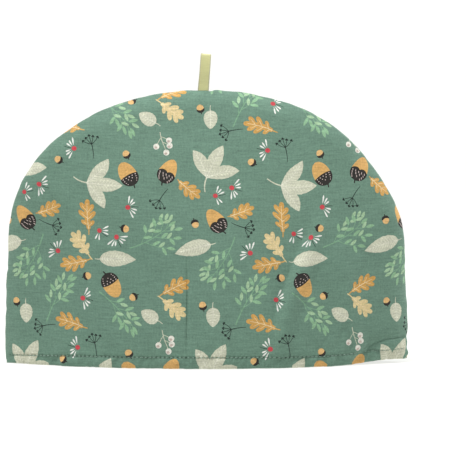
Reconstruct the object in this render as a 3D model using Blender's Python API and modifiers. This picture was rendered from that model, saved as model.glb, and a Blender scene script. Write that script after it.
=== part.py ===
"""Padded cloth tea cosy: two half-round panels sewn together round the dome, with a ribbon loop at the top.

Metres, +Z up. The cosy stands open on its hem. The origin is on the table under the middle of the hem,
X runs along the width from one side seam to the other, and the front panel faces -Y.
"""

import math

import bmesh
import bpy
from mathutils import Matrix, Vector

# Driving sizes.
WIDTH = 0.3292  # across the side seams at the hem, to the middle of their rounded edges
DOME_TOP = 0.223  # the top seam above the table, as the cosy stands
HEM_DEPTH = 0.104  # front to back over both hems
PADDING = 0.005  # cotton, wadding and backing together
SEAM_GAP = 0.0003  # between the two panels' faces along the seam

# The outline of a panel: a dome that stands on sides with a slight flare.
SPRING = 0.0925  # height at which the dome starts
DOME_RISE = DOME_TOP - SPRING
DOME_HALF = 0.162  # half its width at the spring line
DOME_POWER = 2.1  # 2 is an ellipse, and more is fuller at the shoulders
FLARE = WIDTH / 2 - DOME_HALF
TOP_SHIFT = -0.0019  # the upper dome stands this far to one side
SHIFT_FROM, SHIFT_TO = 0.105, 0.150
SHOULDER_FALL = 0.0034  # the right shoulder slopes this much more than the left
SHOULDER_HEIGHT, SHOULDER_REACH = 0.172, 0.034

# How a panel bows out from the seam's plane.
BOW_POWER = 1.5  # up the middle, the bow closes in a pointed arch
EDGE_POWER = 1.05  # across, it is an arc that meets the other panel at an angle

# The padding's thickness, as shares of PADDING.
EDGE_ROLL = 0.0075  # the padding rounds off over this distance from the seam
EDGE_SHARE = 0.22
FOLD_SHARE = 0.78  # at the hem's turned edge
FOLD_REACH = 0.004
STITCH_SHARE = 0.62
STITCH_REACH = 0.0028

# The hem. Its topstitching runs lower towards the side seams, and its right corner curls up off the table.
STITCH_HEIGHT = 0.0092
STITCH_DROP = 0.0025
STITCH_DROP_POWER = 3
HEM_CUT = 0.002  # the cloth is modelled this far below the table and then cut level with it
CORNER_LIFT = 0.0050  # of which the cut takes HEM_CUT
LIFT_FROM = {"front_panel": 0.090, "back_panel": 0.128}
LIFT_TO = 0.150

# A panel's mesh: heights of the rows below the spring line, then rows over the dome.
LOW_ROWS = (
    -HEM_CUT, 0.0035, STITCH_HEIGHT, 0.0125, 0.0160, 0.0200, 0.0240,
    0.029, 0.036, 0.045, 0.056, 0.068, 0.080, SPRING,
)  # fmt: skip
DOME_ROWS = 14
COLUMNS = {"front_panel": 60, "back_panel": 40}
EDGE_CROWDING = 0.3  # rows and columns stand closer together near the seam
ROW_BEND_END = 0.036  # rows above this height don't follow the hem

# The ribbon loop.
RIBBON_WIDTH = 0.0085
RIBBON_THICKNESS = 0.0008
LOOP_X = -0.0030  # its middle where it leaves the seam
LOOP_LEAN = math.radians(4.4)  # it leans towards +X
LOOP_RISE = 0.0297  # above the top seam
LOOP_ROOT = 0.006  # how far its ends reach into the seam
PLY_GAP = 0.0004  # between its two plies where the seam holds them
EYE_HALF = 0.0036  # from the loop's middle plane to a ply's middle, where the eye is widest
EYE_OPEN = 0.62  # share of the loop's height at which the eye is widest
EYE_FOLD = 0.8  # share at which the top fold starts
LOOP_STEPS = 28
POCKET_HALF, POCKET_FADE = 0.0062, 0.0145  # the lips part for the ribbon over this half width
POCKET_DEPTH, POCKET_DEPTH_FADE = 0.009, 0.016

# Folds of each panel. A fold is a soft trough (depth above 0) or ridge (depth below 0) along a path of (x, z)
# points, half as deep at its half width, and shallower towards the path's ends.
FOLDS = {
    "front_panel": (
        {"depth": -0.0050, "half_width": 0.0058,
         "path": ((0.0905, 0.111), (0.0805, 0.087), (0.0720, 0.065), (0.0655, 0.045), (0.0600, 0.018))},
        {"depth": -0.0016, "half_width": 0.0140,
         "path": ((0.108, 0.108), (0.098, 0.084), (0.090, 0.060), (0.083, 0.040), (0.075, 0.022))},
        {"depth": 0.0016, "half_width": 0.0046,
         "path": ((0.0810, 0.108), (0.0715, 0.086), (0.0635, 0.064), (0.0570, 0.044), (0.0515, 0.022))},
        {"depth": -0.0025, "half_width": 0.0070,
         "path": ((0.109, 0.088), (0.113, 0.060), (0.112, 0.030))},
        {"depth": 0.0060, "half_width": 0.0105,
         "path": ((0.120, 0.000), (0.138, 0.002), (0.156, 0.003))},
        {"depth": 0.0014, "half_width": 0.0034,
         "path": ((0.1255, 0.0110), (0.1300, 0.0150), (0.1365, 0.0188), (0.1450, 0.0210), (0.1660, 0.0213))},
        {"depth": 0.0012, "half_width": 0.0120, "path": ((-0.150, 0.052), (-0.128, 0.036), (-0.100, 0.028))},
        {"depth": -0.0010, "half_width": 0.0160, "path": ((-0.086, 0.150), (-0.040, 0.100))},
    ),
    "back_panel": (
        {"depth": 0.0018, "half_width": 0.0080, "path": ((-0.150, 0.034), (-0.126, 0.028), (-0.105, 0.013))},
        {"depth": -0.0014, "half_width": 0.0120, "path": ((0.036, 0.086), (0.046, 0.052), (0.050, 0.018))},
        {"depth": 0.0012, "half_width": 0.0140, "path": ((0.098, 0.140), (0.112, 0.110), (0.120, 0.080))},
    ),
}  # fmt: skip
FOLD_END = 0.35  # share of a fold's depth at the ends of its path
FOLD_CLEARANCE = 0.012  # folds fade out this close to the seam

FINISHES = {  # colour, roughness
    "printed_cotton": ((0.155, 0.270, 0.205, 1.0), 0.85),
    "satin_ribbon": ((0.600, 0.585, 0.275, 1.0), 0.45),
}


def smooth(value, low, high):
    """0 below low, 1 above high, and a smooth rise between."""
    share = min(max((value - low) / (high - low), 0.0), 1.0)
    return share * share * (3 - 2 * share)


def half_width(z):
    """Half the panel's width at a height up to the spring line."""
    return DOME_HALF + FLARE * (1 - (max(z, 0.0) / SPRING) ** 2)


def insideness(x, z):
    """1 on the panel's middle line at the hem, and 0 all along the seam."""
    if z <= SPRING:
        return max(1 - (abs(x) / half_width(z)) ** DOME_POWER, 0.0)
    up = (z - SPRING) / DOME_RISE
    return max(1 - (abs(x) / DOME_HALF) ** DOME_POWER - up**DOME_POWER, 0.0)


def seam_distance(x, z):
    """About how far a point of the panel is from the seam."""
    steep = DOME_POWER - 1
    up = max(z - SPRING, 0.0) / DOME_RISE
    slope_x = DOME_POWER * (abs(x) / DOME_HALF) ** steep / DOME_HALF
    slope_z = DOME_POWER * up**steep / DOME_RISE
    return insideness(x, z) / max(math.hypot(slope_x, slope_z), 1 / DOME_HALF)


def along_path(x, z, path):
    """Distance from a point to a path, and the share of the path's length at which the two are nearest."""
    point = Vector((x, z))
    nearest, place, passed = math.inf, 0.0, 0.0
    for a, b in zip(path, path[1:]):
        start, along = Vector(a), Vector(b) - Vector(a)
        share = min(max((point - start).dot(along) / along.length_squared, 0.0), 1.0)
        distance = (point - start - along * share).length
        if distance < nearest:
            nearest, place = distance, passed + share * along.length
        passed += along.length
    return nearest, place / passed


def fold_depth(x, z, folds):
    """How far the folds push the cloth in towards the seam's plane at a point."""
    total = 0.0
    for fold in folds:
        distance, place = along_path(x, z, fold["path"])
        across = 0.5 ** ((distance / fold["half_width"]) ** 2)
        along = FOLD_END + (1 - FOLD_END) * math.sin(math.pi * place)
        total += fold["depth"] * across * along
    return total * smooth(seam_distance(x, z), 0.0, FOLD_CLEARANCE)


def hem_lift(x, name):
    """How far the curled corner raises the hem at this place along the width."""
    return CORNER_LIFT * smooth(x, LIFT_FROM[name], LIFT_TO)


def stitch_height(x, name):
    """Height of the hem's topstitching at this place along the width."""
    drop = STITCH_DROP * min(abs(x) / (WIDTH / 2), 1.0) ** STITCH_DROP_POWER
    return STITCH_HEIGHT - drop + hem_lift(x, name)


def pocket(x, z):
    """1 where the two panels part to hold the ends of the ribbon, and 0 away from it."""
    across = 1 - smooth(abs(x + TOP_SHIFT - LOOP_X), POCKET_HALF, POCKET_FADE)
    down = 1 - smooth(DOME_TOP - z, POCKET_DEPTH, POCKET_DEPTH_FADE)
    return across * down


def inner_bow(x, z):
    """Distance from the seam's plane to the panel's inner face, before its folds."""
    reach = HEM_DEPTH / 2 - PADDING * FOLD_SHARE - SEAM_GAP / 2
    middle = reach * (1 - (max(z, 0.0) / DOME_TOP) ** BOW_POWER)
    level_width = insideness(0.0, z)
    across = (insideness(x, z) / level_width) ** EDGE_POWER if level_width > 0 else 0.0
    ribbon = PLY_GAP / 2 + RIBBON_THICKNESS + SEAM_GAP / 2
    return SEAM_GAP / 2 + max(middle * across, ribbon * pocket(x, z))


def padding_share(x, z, name):
    """The padding's thickness at a point, as a share of PADDING."""
    roll = min(seam_distance(x, z) / EDGE_ROLL, 1.0)
    edge = EDGE_SHARE + (1 - EDGE_SHARE) * math.sqrt(1 - (1 - roll) ** 2)
    above_hem = z - max(hem_lift(x, name) - HEM_CUT, 0.0)
    fold = FOLD_SHARE + (1 - FOLD_SHARE) * smooth(above_hem, 0.0, FOLD_REACH)
    from_stitch = (z - stitch_height(x, name)) / STITCH_REACH
    stitch = 1 - (1 - STITCH_SHARE) * math.exp(-(from_stitch**2))
    return min(edge, fold * stitch)


def uneven(x, z):
    """How far the dome's unevenness moves a point sideways."""
    fall = math.exp(-(((z - SHOULDER_HEIGHT) / SHOULDER_REACH) ** 2)) * max(x, 0.0) / DOME_HALF
    return TOP_SHIFT * smooth(z, SHIFT_FROM, SHIFT_TO) - SHOULDER_FALL * fall


def row_height(row, x, name):
    """Height of a point in a row below the spring line. The lowest rows bend with the hem and its seam."""
    z = LOW_ROWS[row]
    bend = stitch_height(x, name) - STITCH_HEIGHT
    if z > STITCH_HEIGHT:
        return z + bend * (1 - smooth(z, STITCH_HEIGHT, ROW_BEND_END))
    share = max(z, 0.0) / STITCH_HEIGHT
    return z + hem_lift(x, name) * (1 - share) + bend * share


def crowded(share):
    """A grid place from -1 to 1, moved so that steps near the ends are shorter."""
    return share * (1 + EDGE_CROWDING * (1 - share * share))


def dome_point(u, q):
    """A point of a square grid over the dome, u across and q up, drawn round to the dome's outline."""
    x, up = u * math.sqrt(1 - q * q / 2), q * math.sqrt(1 - u * u / 2)
    reach = math.hypot(x, up)
    fullness = ((x / reach) ** 2) ** (DOME_POWER / 2) + (up / reach) ** DOME_POWER if reach else 1.0
    stretch = fullness ** (-1 / DOME_POWER)
    return x * stretch * DOME_HALF, SPRING + up * stretch * DOME_RISE


def panel_point(u, row, side, name):
    """Place of a grid point on the inner face, and the padding's share there: u across, row from the hem."""
    last_low = len(LOW_ROWS) - 1
    if row <= last_low:
        z = row_height(row, u * half_width(LOW_ROWS[row]), name)
        x = u * half_width(z)
    else:
        x, z = dome_point(u, crowded((row - last_low) / DOME_ROWS))
    y = side * (inner_bow(x, z) - fold_depth(x, z, FOLDS[name]))
    return Vector((x + uneven(x, z), y, z)), padding_share(x, z, name)


def finish(name):
    """The material of that name."""
    colour, roughness = FINISHES[name]
    made = bpy.data.materials.get(name) or bpy.data.materials.new(name)
    made.use_nodes = True
    shader = made.node_tree.nodes["Principled BSDF"]
    shader.inputs["Base Color"].default_value = colour
    shader.inputs["Roughness"].default_value = roughness
    shader.inputs["Metallic"].default_value = 0.0
    return made


def add(data, name, collection):
    """A new object with this mesh or curve, in the collection."""
    made = bpy.data.objects.new(name, data)
    collection.objects.link(made)
    return made


def make_panel(name, side, table, collection):
    """One padded panel: its inner face from a flat grid, thickened outwards, and cut level at the hem."""
    rows = len(LOW_ROWS) - 1 + DOME_ROWS
    cloth = bmesh.new()
    bmesh.ops.create_grid(cloth, x_segments=COLUMNS[name], y_segments=rows, size=1.0)
    shares = []
    for vertex in cloth.verts:
        row = round((vertex.co.y + 1) / 2 * rows)
        vertex.co, share = panel_point(crowded(vertex.co.x), row, side, name)
        shares.append(share)
    if side > 0:
        bmesh.ops.reverse_faces(cloth, faces=cloth.faces)
    mesh = bpy.data.meshes.new(name)
    cloth.to_mesh(mesh)
    cloth.free()
    mesh.materials.append(finish("printed_cotton"))
    mesh.shade_smooth()

    panel = add(mesh, name, collection)
    group = panel.vertex_groups.new(name="padding")
    for index, share in enumerate(shares):
        group.add([index], share, "REPLACE")
    padding = panel.modifiers.new("padding", "SOLIDIFY")
    padding.thickness = PADDING
    padding.offset = 1.0
    padding.vertex_group = group.name
    level = panel.modifiers.new("level_hem", "BOOLEAN")
    level.operation = "DIFFERENCE"
    level.object = table
    return panel


def ply_offset(share):
    """Distance from the loop's middle plane to a ply's middle, from the ribbon's end (0) to the fold (1)."""
    held = (PLY_GAP + RIBBON_THICKNESS) / 2
    lips = LOOP_ROOT / (LOOP_ROOT + LOOP_RISE)
    opened = held + (EYE_HALF - held) * smooth(share, lips, EYE_OPEN)
    over_fold = max(share - EYE_FOLD, 0.0) / (1 - EYE_FOLD)
    return opened * math.sqrt(max(1 - over_fold**2, 0.0))


def ribbon_line():
    """The middle of the ribbon from one end, over the top fold and down to the other end, as (y, z)."""
    top = LOOP_ROOT + LOOP_RISE - RIBBON_THICKNESS / 2
    rise = []
    for step in range(LOOP_STEPS):
        share = math.sin(math.pi / 2 * step / LOOP_STEPS)  # steps get shorter towards the top fold
        rise.append((ply_offset(share), share * top))
    return [(-y, z) for y, z in rise] + [(0.0, top)] + [(y, z) for y, z in reversed(rise)]


def beside(line, distance):
    """The line moved sideways by a distance, to its left."""
    moved = []
    for index, point in enumerate(line):
        before, after = line[max(index - 1, 0)], line[min(index + 1, len(line) - 1)]
        along = Vector((after[0] - before[0], after[1] - before[1])).normalized()
        moved.append((point[0] - along.y * distance, point[1] + along.x * distance))
    return moved


def make_loop(collection):
    """The hanging loop: the ribbon's side outline, extruded to the ribbon's width."""
    line = ribbon_line()
    outline = beside(line, RIBBON_THICKNESS / 2) + beside(line, -RIBBON_THICKNESS / 2)[::-1]
    curve = bpy.data.curves.new("hanging_loop", "CURVE")
    curve.dimensions = "2D"
    curve.fill_mode = "BOTH"
    curve.extrude = RIBBON_WIDTH / 2
    side = curve.splines.new("POLY")
    side.points.add(len(outline) - 1)
    for point, (y, z) in zip(side.points, outline):
        point.co = (y, z, 0.0, 1.0)
    side.use_cyclic_u = True
    curve.materials.append(finish("satin_ribbon"))
    loop = add(curve, "hanging_loop", collection)
    # The outline's own X and Y are the cosy's Y and Z, so the ribbon's width runs along X.
    upright = Matrix(((0, 0, 1), (1, 0, 0), (0, 1, 0))).to_4x4()
    lean = Matrix.Rotation(LOOP_LEAN, 4, "Y")
    foot = Matrix.Translation((LOOP_X, 0.0, DOME_TOP - LOOP_ROOT))
    loop.matrix_world = foot @ lean @ upright
    return loop


def make_table(collection):
    """The block that cuts the hems level. It isn't part of the cosy."""
    deep = 0.1
    bpy.ops.mesh.primitive_cube_add(size=1.0, location=(0.0, 0.0, -deep / 2))
    table = bpy.context.object
    table.name = "table_cutter"
    table.scale = (2 * WIDTH, WIDTH, deep)
    bpy.ops.object.transform_apply(location=False, rotation=False, scale=True)
    for owner in table.users_collection:
        owner.objects.unlink(table)
    collection.objects.link(table)
    table.hide_render = True
    table.display_type = "WIRE"
    return table


def main():
    for leftover in list(bpy.data.objects):
        bpy.data.objects.remove(leftover)
    parts = bpy.data.collections.new("tea_cosy")
    cutters = bpy.data.collections.new("cutters")
    for collection in (parts, cutters):
        bpy.context.scene.collection.children.link(collection)
    table = make_table(cutters)
    make_panel("front_panel", -1, table, parts)
    make_panel("back_panel", 1, table, parts)
    make_loop(parts)


main()
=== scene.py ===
"""The looks of a padded cotton tea cosy: two printed panels, their hem stitching and a satin ribbon loop.

Metres, +Z up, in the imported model's own frame: the cosy stands on its hem at z = 0, X runs along its width,
and the front panel faces -Y. The cloth is cut from a printed repeat that is charted and drawn here in
millimetres, as leaves, acorns, sprigs and small flowers on a sage green ground.
"""

from __future__ import annotations

import logging
import math
from collections.abc import Callable
from dataclasses import dataclass, field
from enum import Enum
from functools import cached_property

import bmesh
import bpy
import numpy as np
from mathutils import Euler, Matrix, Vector
from mathutils.geometry import delaunay_2d_cdt


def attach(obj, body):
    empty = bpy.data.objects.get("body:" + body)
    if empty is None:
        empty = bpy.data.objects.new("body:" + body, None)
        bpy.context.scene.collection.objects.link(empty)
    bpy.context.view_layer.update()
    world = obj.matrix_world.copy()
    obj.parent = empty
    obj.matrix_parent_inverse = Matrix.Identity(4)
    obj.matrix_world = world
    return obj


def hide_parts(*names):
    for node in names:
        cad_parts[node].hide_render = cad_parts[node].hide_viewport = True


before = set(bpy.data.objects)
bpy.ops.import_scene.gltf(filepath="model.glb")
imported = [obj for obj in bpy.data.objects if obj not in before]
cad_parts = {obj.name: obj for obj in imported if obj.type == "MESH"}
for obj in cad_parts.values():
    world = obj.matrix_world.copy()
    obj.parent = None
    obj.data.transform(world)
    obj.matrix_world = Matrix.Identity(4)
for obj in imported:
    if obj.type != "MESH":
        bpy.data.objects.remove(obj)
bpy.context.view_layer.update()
MM = 0.001
TINY = 1e-6  # keeps a division from being by zero
HASH = (12.9898, 78.233, 43758.5453)  # the usual factors of a sine hash
ROW_SHIFT = 50  # hills by which the rows of a crumpled surface are moved along at most

Array = np.ndarray
Pair = tuple[float, float]
Triple = tuple[float, float, float]
Rows = tuple[tuple[float, ...], ...]
Object = bpy.types.Object
Material = bpy.types.Material
Socket = bpy.types.NodeSocket
Tree = bpy.types.NodeTree

log = logging.getLogger("tea_cosy")


# ---- Colours and nodes ----


def linear(colour: str) -> tuple[float, float, float, float]:
    """An sRGB hex colour as linear red, green, blue and alpha."""
    shares = (int(colour[start : start + 2], 16) / 255 for start in (1, 3, 5))
    made = (share / 12.92 if share <= 0.04045 else ((share + 0.055) / 1.055) ** 2.4 for share in shares)
    return (*made, 1.0)


def add_node(
    tree: Tree, kind: str, inputs: dict | None = None, links: dict | None = None, **settings: object
) -> bpy.types.Node:
    """Adds a node to a material.

    Args:
        tree: The material's node tree.
        kind: The node's type, without "ShaderNode" in front.
        inputs: Values of its inputs, by name or number.
        links: Output sockets that feed its inputs, by name or number.
        **settings: The node's own settings.

    Returns:
        The node.
    """
    node = tree.nodes.new("ShaderNode" + kind)
    for name, value in settings.items():
        setattr(node, name, value)
    for key, value in (inputs or {}).items():
        node.inputs[key].default_value = value
    for key, socket in (links or {}).items():
        tree.links.new(socket, node.inputs[key])
    return node


def maths(tree: Tree, operation: str, *terms: float | Socket) -> Socket:
    """Works out a number in a material, by an operation on numbers and output sockets in their order."""
    numbers = {place: term for place, term in enumerate(terms) if isinstance(term, (int, float))}
    links = {place: term for place, term in enumerate(terms) if place not in numbers}
    return add_node(tree, "Math", numbers, links, operation=operation).outputs[0]


def noise(tree: Tree, place: Socket, scale: float, detail: float, rough: float = 0.5) -> Socket:
    """Cloudy noise from 0 to 1, with clouds of scale to a metre, read at the places of an output socket."""
    values = {"Scale": scale, "Detail": detail, "Roughness": rough}
    return add_node(tree, "TexNoise", values, {"Vector": place}).outputs[0]


def mixed(tree: Tree, share: Socket, low: Socket | str, high: str) -> Socket:
    """A colour from low, an output socket or sRGB hex, to high, sRGB hex, at an output socket's share."""
    links = {0: share} if isinstance(low, str) else {0: share, 6: low}
    inputs = {7: linear(high)} if 6 in links else {6: linear(low), 7: linear(high)}
    return add_node(tree, "Mix", inputs, links, data_type="RGBA").outputs[2]


def relief(tree: Tree, height: Socket, strength: float, size: float, over: Socket | None = None) -> Socket:
    """A surface's direction where a height of 1 stands for size in metres, over another relief or none."""
    links = {"Height": height} if over is None else {"Height": height, "Normal": over}
    return add_node(tree, "Bump", {"Strength": strength, "Distance": size}, links).outputs[0]


def new_material(name: str, sockets: dict[str, object]) -> tuple[Material, Tree, bpy.types.Node]:
    """A new material.

    Args:
        name: What it is called.
        sockets: Values of its shader's inputs, by name.

    Returns:
        The material, its node tree and its Principled shader.
    """
    material = bpy.data.materials.new(name)
    material.use_nodes = True
    shader = material.node_tree.nodes["Principled BSDF"]
    for socket, value in sockets.items():
        shader.inputs[socket].default_value = value
    return material, material.node_tree, shader


# ---- Drawing the motifs ----


class Ink(Enum):
    """The inks of the printed cotton, as sRGB hex colours."""

    GROUND = "#678675"
    PALE = "#c2c4ae"
    PALE_VEIN = "#d6d6c5"
    NUT = "#cea363"
    NUT_LIGHT = "#d8b077"
    OAK = "#c69954"
    OAK_LIGHT = "#d4c190"
    OAK_VEIN = "#ddc99f"
    CAP = "#2b2926"
    CAP_MARK = "#d2c0ba"
    SPRIG = "#86ad89"
    SPRIG_LIGHT = "#9cbb97"
    SPRIG_STEM = "#779f80"
    UMBEL = "#212d28"
    PETAL = "#e1e2db"
    RED = "#c0434b"
    BERRY = "#dbd9ce"
    BERRY_SHADE = "#bcaba0"


@dataclass(frozen=True)
class Patch:
    """One flat area of ink, its outline in millimetres."""

    ink: Ink
    outline: Array

    def placed(self, x: float, y: float, turn: float = 0, size: float = 1, flipped: bool = False) -> Patch:
        """This patch flipped over or not, turned by degrees anticlockwise, resized, and moved to x and y."""
        angle = math.radians(turn)
        turned = np.array(((math.cos(angle), math.sin(angle)), (-math.sin(angle), math.cos(angle))))
        return Patch(self.ink, self.outline * (1, -1 if flipped else 1) @ turned * size + (x, y))


@dataclass(frozen=True)
class Rib:
    """A stem or midrib, which bends evenly from its foot to its tip."""

    foot: Pair
    heading: float
    length: float
    bend: float = 0

    def heading_at(self, share: float) -> float:
        """Heading in degrees at a share of the length."""
        return self.heading + self.bend * share

    def at(self, share: Array | float) -> Array:
        """Points at shares of the length."""
        share = np.asarray(share, float)
        middle = np.radians(self.heading + self.bend * share / 2)
        chord = self.length * share * np.sinc(math.radians(self.bend) * share / math.tau)
        return np.stack((np.cos(middle), np.sin(middle)), -1) * chord[..., None] + self.foot

    def beside(self, share: Array | float, distance: Array | float) -> Array:
        """Points at distances to the rib's left, or to its right below 0, at shares of its length."""
        heading = np.radians(self.heading + self.bend * np.asarray(share, float))
        left = np.stack((-np.sin(heading), np.cos(heading)), -1)
        return self.at(share) + left * np.asarray(distance, float)[..., None]

    def blade(self, ink: Ink, share: Array, left: Array, right: Array) -> Patch:
        """A patch along the rib, with half widths to the left and right at shares of the rib's length."""
        return Patch(ink, np.concatenate((self.beside(share, left), self.beside(share, -right)[::-1])))

    def stroke(self, ink: Ink, foot_width: float, tip_width: float, end: float = 1, steps: int = 4) -> Patch:
        """A pen stroke along the rib, in straight steps, from its foot to a share of its length."""
        share, half = np.linspace(0, end, steps + 1), np.linspace(foot_width, tip_width, steps + 1) / 2
        return self.blade(ink, share, half, half)


def bulge(share: Array, foot: float, tip: float) -> Array:
    """A leaf's half width along its rib, 1 where it is widest. An end is blunt below 0.6, else drawn out."""
    widest = foot / (foot + tip)
    return share**foot * (1 - share) ** tip / (widest**foot * (1 - widest) ** tip)


def rounded(steps: int) -> Array:
    """Shares from 0 to 1 that stand closer together at both ends."""
    return (1 - np.cos(np.linspace(0, math.pi, steps + 1))) / 2


def dot(ink: Ink, x: float, y: float, radius: float, tall: float = 1, steps: int = 10) -> Patch:
    """A round or oval dot about x and y. Its height is tall times its width."""
    turn = np.arange(steps) * math.tau / steps
    return Patch(ink, np.stack((x + radius * np.cos(turn), y + radius * tall * np.sin(turn)), -1))


class Motif:
    """One motif of the print, drawn round its own middle in millimetres."""

    def draw(self) -> list[Patch]:
        """The motif's patches, the lowest first."""
        raise NotImplementedError


@dataclass(frozen=True)
class PaleLeaf(Motif):
    """A pale leaf with a midrib and pairs of side veins."""

    length: float = 30
    width: float = 12.8
    bend: float = 10
    foot: float = 0.62
    tip: float = 0.95
    veins: int = 11
    stem: float = 4.2
    vein_width: float = 0.5

    def on(self, rib: Rib) -> list[Patch]:
        """The leaf along a rib.

        Args:
            rib: The midrib, from the leaf's foot to its tip.

        Returns:
            The blade, its side veins and its midrib.
        """
        share = rounded(22)
        edge = 1 + 0.035 * np.sin(share * 37)
        half = self.width / 2 * bulge(share, self.foot, self.tip)
        patches = [rib.blade(Ink.PALE, share, half * edge, half * edge[::-1])]
        for vein in range(self.veins):
            start = 0.05 + 0.82 * vein / self.veins
            end = start + 0.11
            reach = self.width / 2 * 0.86 * float(bulge(np.array(end), self.foot, self.tip))
            for side in (1, -1):
                root, edge_point = rib.at(start), rib.beside(end, side * reach)
                along = edge_point - root
                heading = math.degrees(math.atan2(along[1], along[0]))
                line = Rib(tuple(root), heading - side * 5, float(np.hypot(*along)), side * 10)
                patches.append(line.stroke(Ink.PALE_VEIN, self.vein_width, 0.22, steps=2))
        patches.append(rib.stroke(Ink.PALE_VEIN, 0.65, 0.25, end=0.96, steps=6))
        return patches

    def draw(self) -> list[Patch]:
        """The leaf and its stem."""
        rib = Rib((-self.length / 2, 0), -self.bend / 2, self.length, self.bend)
        stem = Rib(rib.foot, rib.heading + 176, self.stem, 24)
        return [stem.stroke(Ink.PALE, 0.8, 0.45), *self.on(rib)]


@dataclass(frozen=True)
class LeafSpray(Motif):
    """Three pale leaflets that fan out from the end of one stem."""

    leaflets: Rows = (
        (50, 25.5, 10.6, 30),
        (5, 30, 11.6, -8),
        (-42, 27.5, 11, -30),
    )
    stem: float = 12
    node: Pair = (-12, 0)

    def draw(self) -> list[Patch]:
        """The stem and the leaflets."""
        stem = Rib(self.node, 186, self.stem, 34)
        patches = [stem.stroke(Ink.PALE, 1.2, 0.8, steps=6)]
        for heading, length, width, bend in self.leaflets:
            leaflet = PaleLeaf(length, width, foot=1.05, tip=0.95, veins=9, vein_width=0.42)
            patches += leaflet.on(Rib(self.node, heading - bend * 0.3, length, bend))
        return patches


@dataclass(frozen=True)
class OakLeaf(Motif):
    """An oak leaf: pairs of rounded lobes along a narrow spine, and one lobe at its tip."""

    length: float = 24
    width: float = 14.6
    stem: float = 4.6
    bend: float = 12
    body: Ink = Ink.OAK
    vein: Ink = Ink.OAK_VEIN
    lobes: Rows = (
        (0.1, 60, 0.46, 3.2),
        (0.33, 54, 0.64, 3.9),
        (0.56, 46, 0.6, 3.9),
    )  # each pair's place along the spine, its angle, its length in leaf widths, and its width

    def draw(self) -> list[Patch]:
        """The leaf, its veins and its stem."""
        rib = Rib((-self.length / 2, 0), -self.bend / 2, self.length, self.bend)
        share, round_end = rounded(10), rounded(8)
        spine = self.width * (0.1 + 0.07 * np.sin(math.pi * share))
        patches = [Rib(rib.foot, rib.heading + 180, self.stem, 14).stroke(self.body, 1.1, 0.8)]
        patches.append(rib.blade(self.body, share * 0.93, spine, spine))
        tip = Rib(tuple(rib.at(0.66)), rib.heading_at(0.8), 0.36 * self.length, 6)
        half = 0.15 * self.width * bulge(round_end, 0.5, 0.42)
        patches.append(tip.blade(self.body, round_end, half, half))
        veins = []
        for place, angle, reach, width in self.lobes:
            for side in (1, -1):
                at = place + (0.045 if side < 0 else 0)
                heading = rib.heading_at(at) + side * angle
                lobe = Rib(tuple(rib.at(at)), heading, reach * self.width, -side * 16)
                half = width / 2 * bulge(round_end, 0.55, 0.42)
                patches.append(lobe.blade(self.body, round_end, half, half))
                veins.append(lobe.stroke(self.vein, 0.5, 0.25, end=0.66, steps=2))
        return [*patches, *veins, rib.stroke(self.vein, 0.75, 0.35, end=0.88, steps=6)]


@dataclass(frozen=True)
class OakPair(Motif):
    """A dark and a light oak leaf whose stems meet."""

    spread: float = 62
    reach: float = 16.5

    def draw(self) -> list[Patch]:
        """Both leaves."""
        dark = OakLeaf(length=23, width=13.8, bend=-8)
        light = OakLeaf(length=21.5, width=14.2, bend=14, body=Ink.OAK_LIGHT, stem=6)
        patches = []
        for leaf, turn in ((dark, 90 + self.spread * 0.42), (light, 90 - self.spread * 0.58)):
            angle = math.radians(turn)
            at = (self.reach * math.cos(angle), self.reach * (math.sin(angle) - 0.8))
            patches += [patch.placed(*at, turn) for patch in leaf.draw()]
        return patches


@dataclass(frozen=True)
class Acorn(Motif):
    """A large acorn, its cap upwards."""

    nut_width: float = 14.4
    nut_length: float = 12.8
    point: float = 2.1
    cap_width: float = 15.4
    cap_height: float = 8.6
    scallop: float = 0
    dashed: bool = False  # its cap is marked with dashes, and otherwise with dots

    def nut(self) -> Patch:
        """The nut, rounded or drawn to a point."""
        down = np.linspace(0, 1, 15)
        half = self.nut_width / 2 * (1 - down**self.point) ** (1 / 1.9)
        below = -self.nut_length * down
        right = np.stack((half, below), -1)
        left = np.stack((-half, below), -1)[-2::-1]
        return Patch(Ink.NUT, np.concatenate((right, left)))

    def cap(self) -> Patch:
        """The cap, with a smooth or scalloped lower edge."""
        turn = np.linspace(0, math.pi, 17)
        over = np.stack((self.cap_width / 2 * np.cos(turn), self.cap_height * np.sin(turn) ** 0.85), -1)
        across = np.linspace(-1, 1, 17)[1:-1]
        sag = -1.3 * (1 - across**2) - self.scallop * np.abs(np.sin(across * math.pi)) ** 0.7
        under = np.stack((self.cap_width / 2 * across, sag), -1)
        return Patch(Ink.CAP, np.concatenate((over, under)))

    def draw(self) -> list[Patch]:
        """The nut, the cap, its marks and its stalk."""
        stalk = Rib((0, self.cap_height - 0.4), 84, 3, -24)
        patches = [self.nut(), stalk.stroke(Ink.CAP, 1.3, 0.9), self.cap()]
        for row, (height, count) in enumerate(((0.6, 5), (2.5, 4), (4.3, 3), (5.9, 2))):
            reach = self.cap_width / 2 * math.sqrt(max(1 - (height / self.cap_height) ** 2, 0)) * 0.72
            for mark in range(count):
                x = reach * (2 * mark / (count - 1) - 1)
                if self.dashed:
                    dash = Rib((x - 0.5, height - 0.7), 62, 1.7)
                    patches.append(dash.stroke(Ink.CAP_MARK, 0.5, 0.4, steps=1))
                else:
                    patches.append(dot(Ink.CAP_MARK, x, height, 0.48 - 0.04 * row, steps=6))
        return [patch.placed(0, self.nut_length / 2 - self.cap_height / 2) for patch in patches]


@dataclass(frozen=True)
class Group(Motif):
    """Motifs that are printed together, the lowest first: each with its middle, its turn and its size."""

    parts: tuple[tuple[Motif, float, float, float, float], ...]

    def draw(self) -> list[Patch]:
        """All of them."""
        return [patch.placed(*place) for motif, *place in self.parts for patch in motif.draw()]


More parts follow.
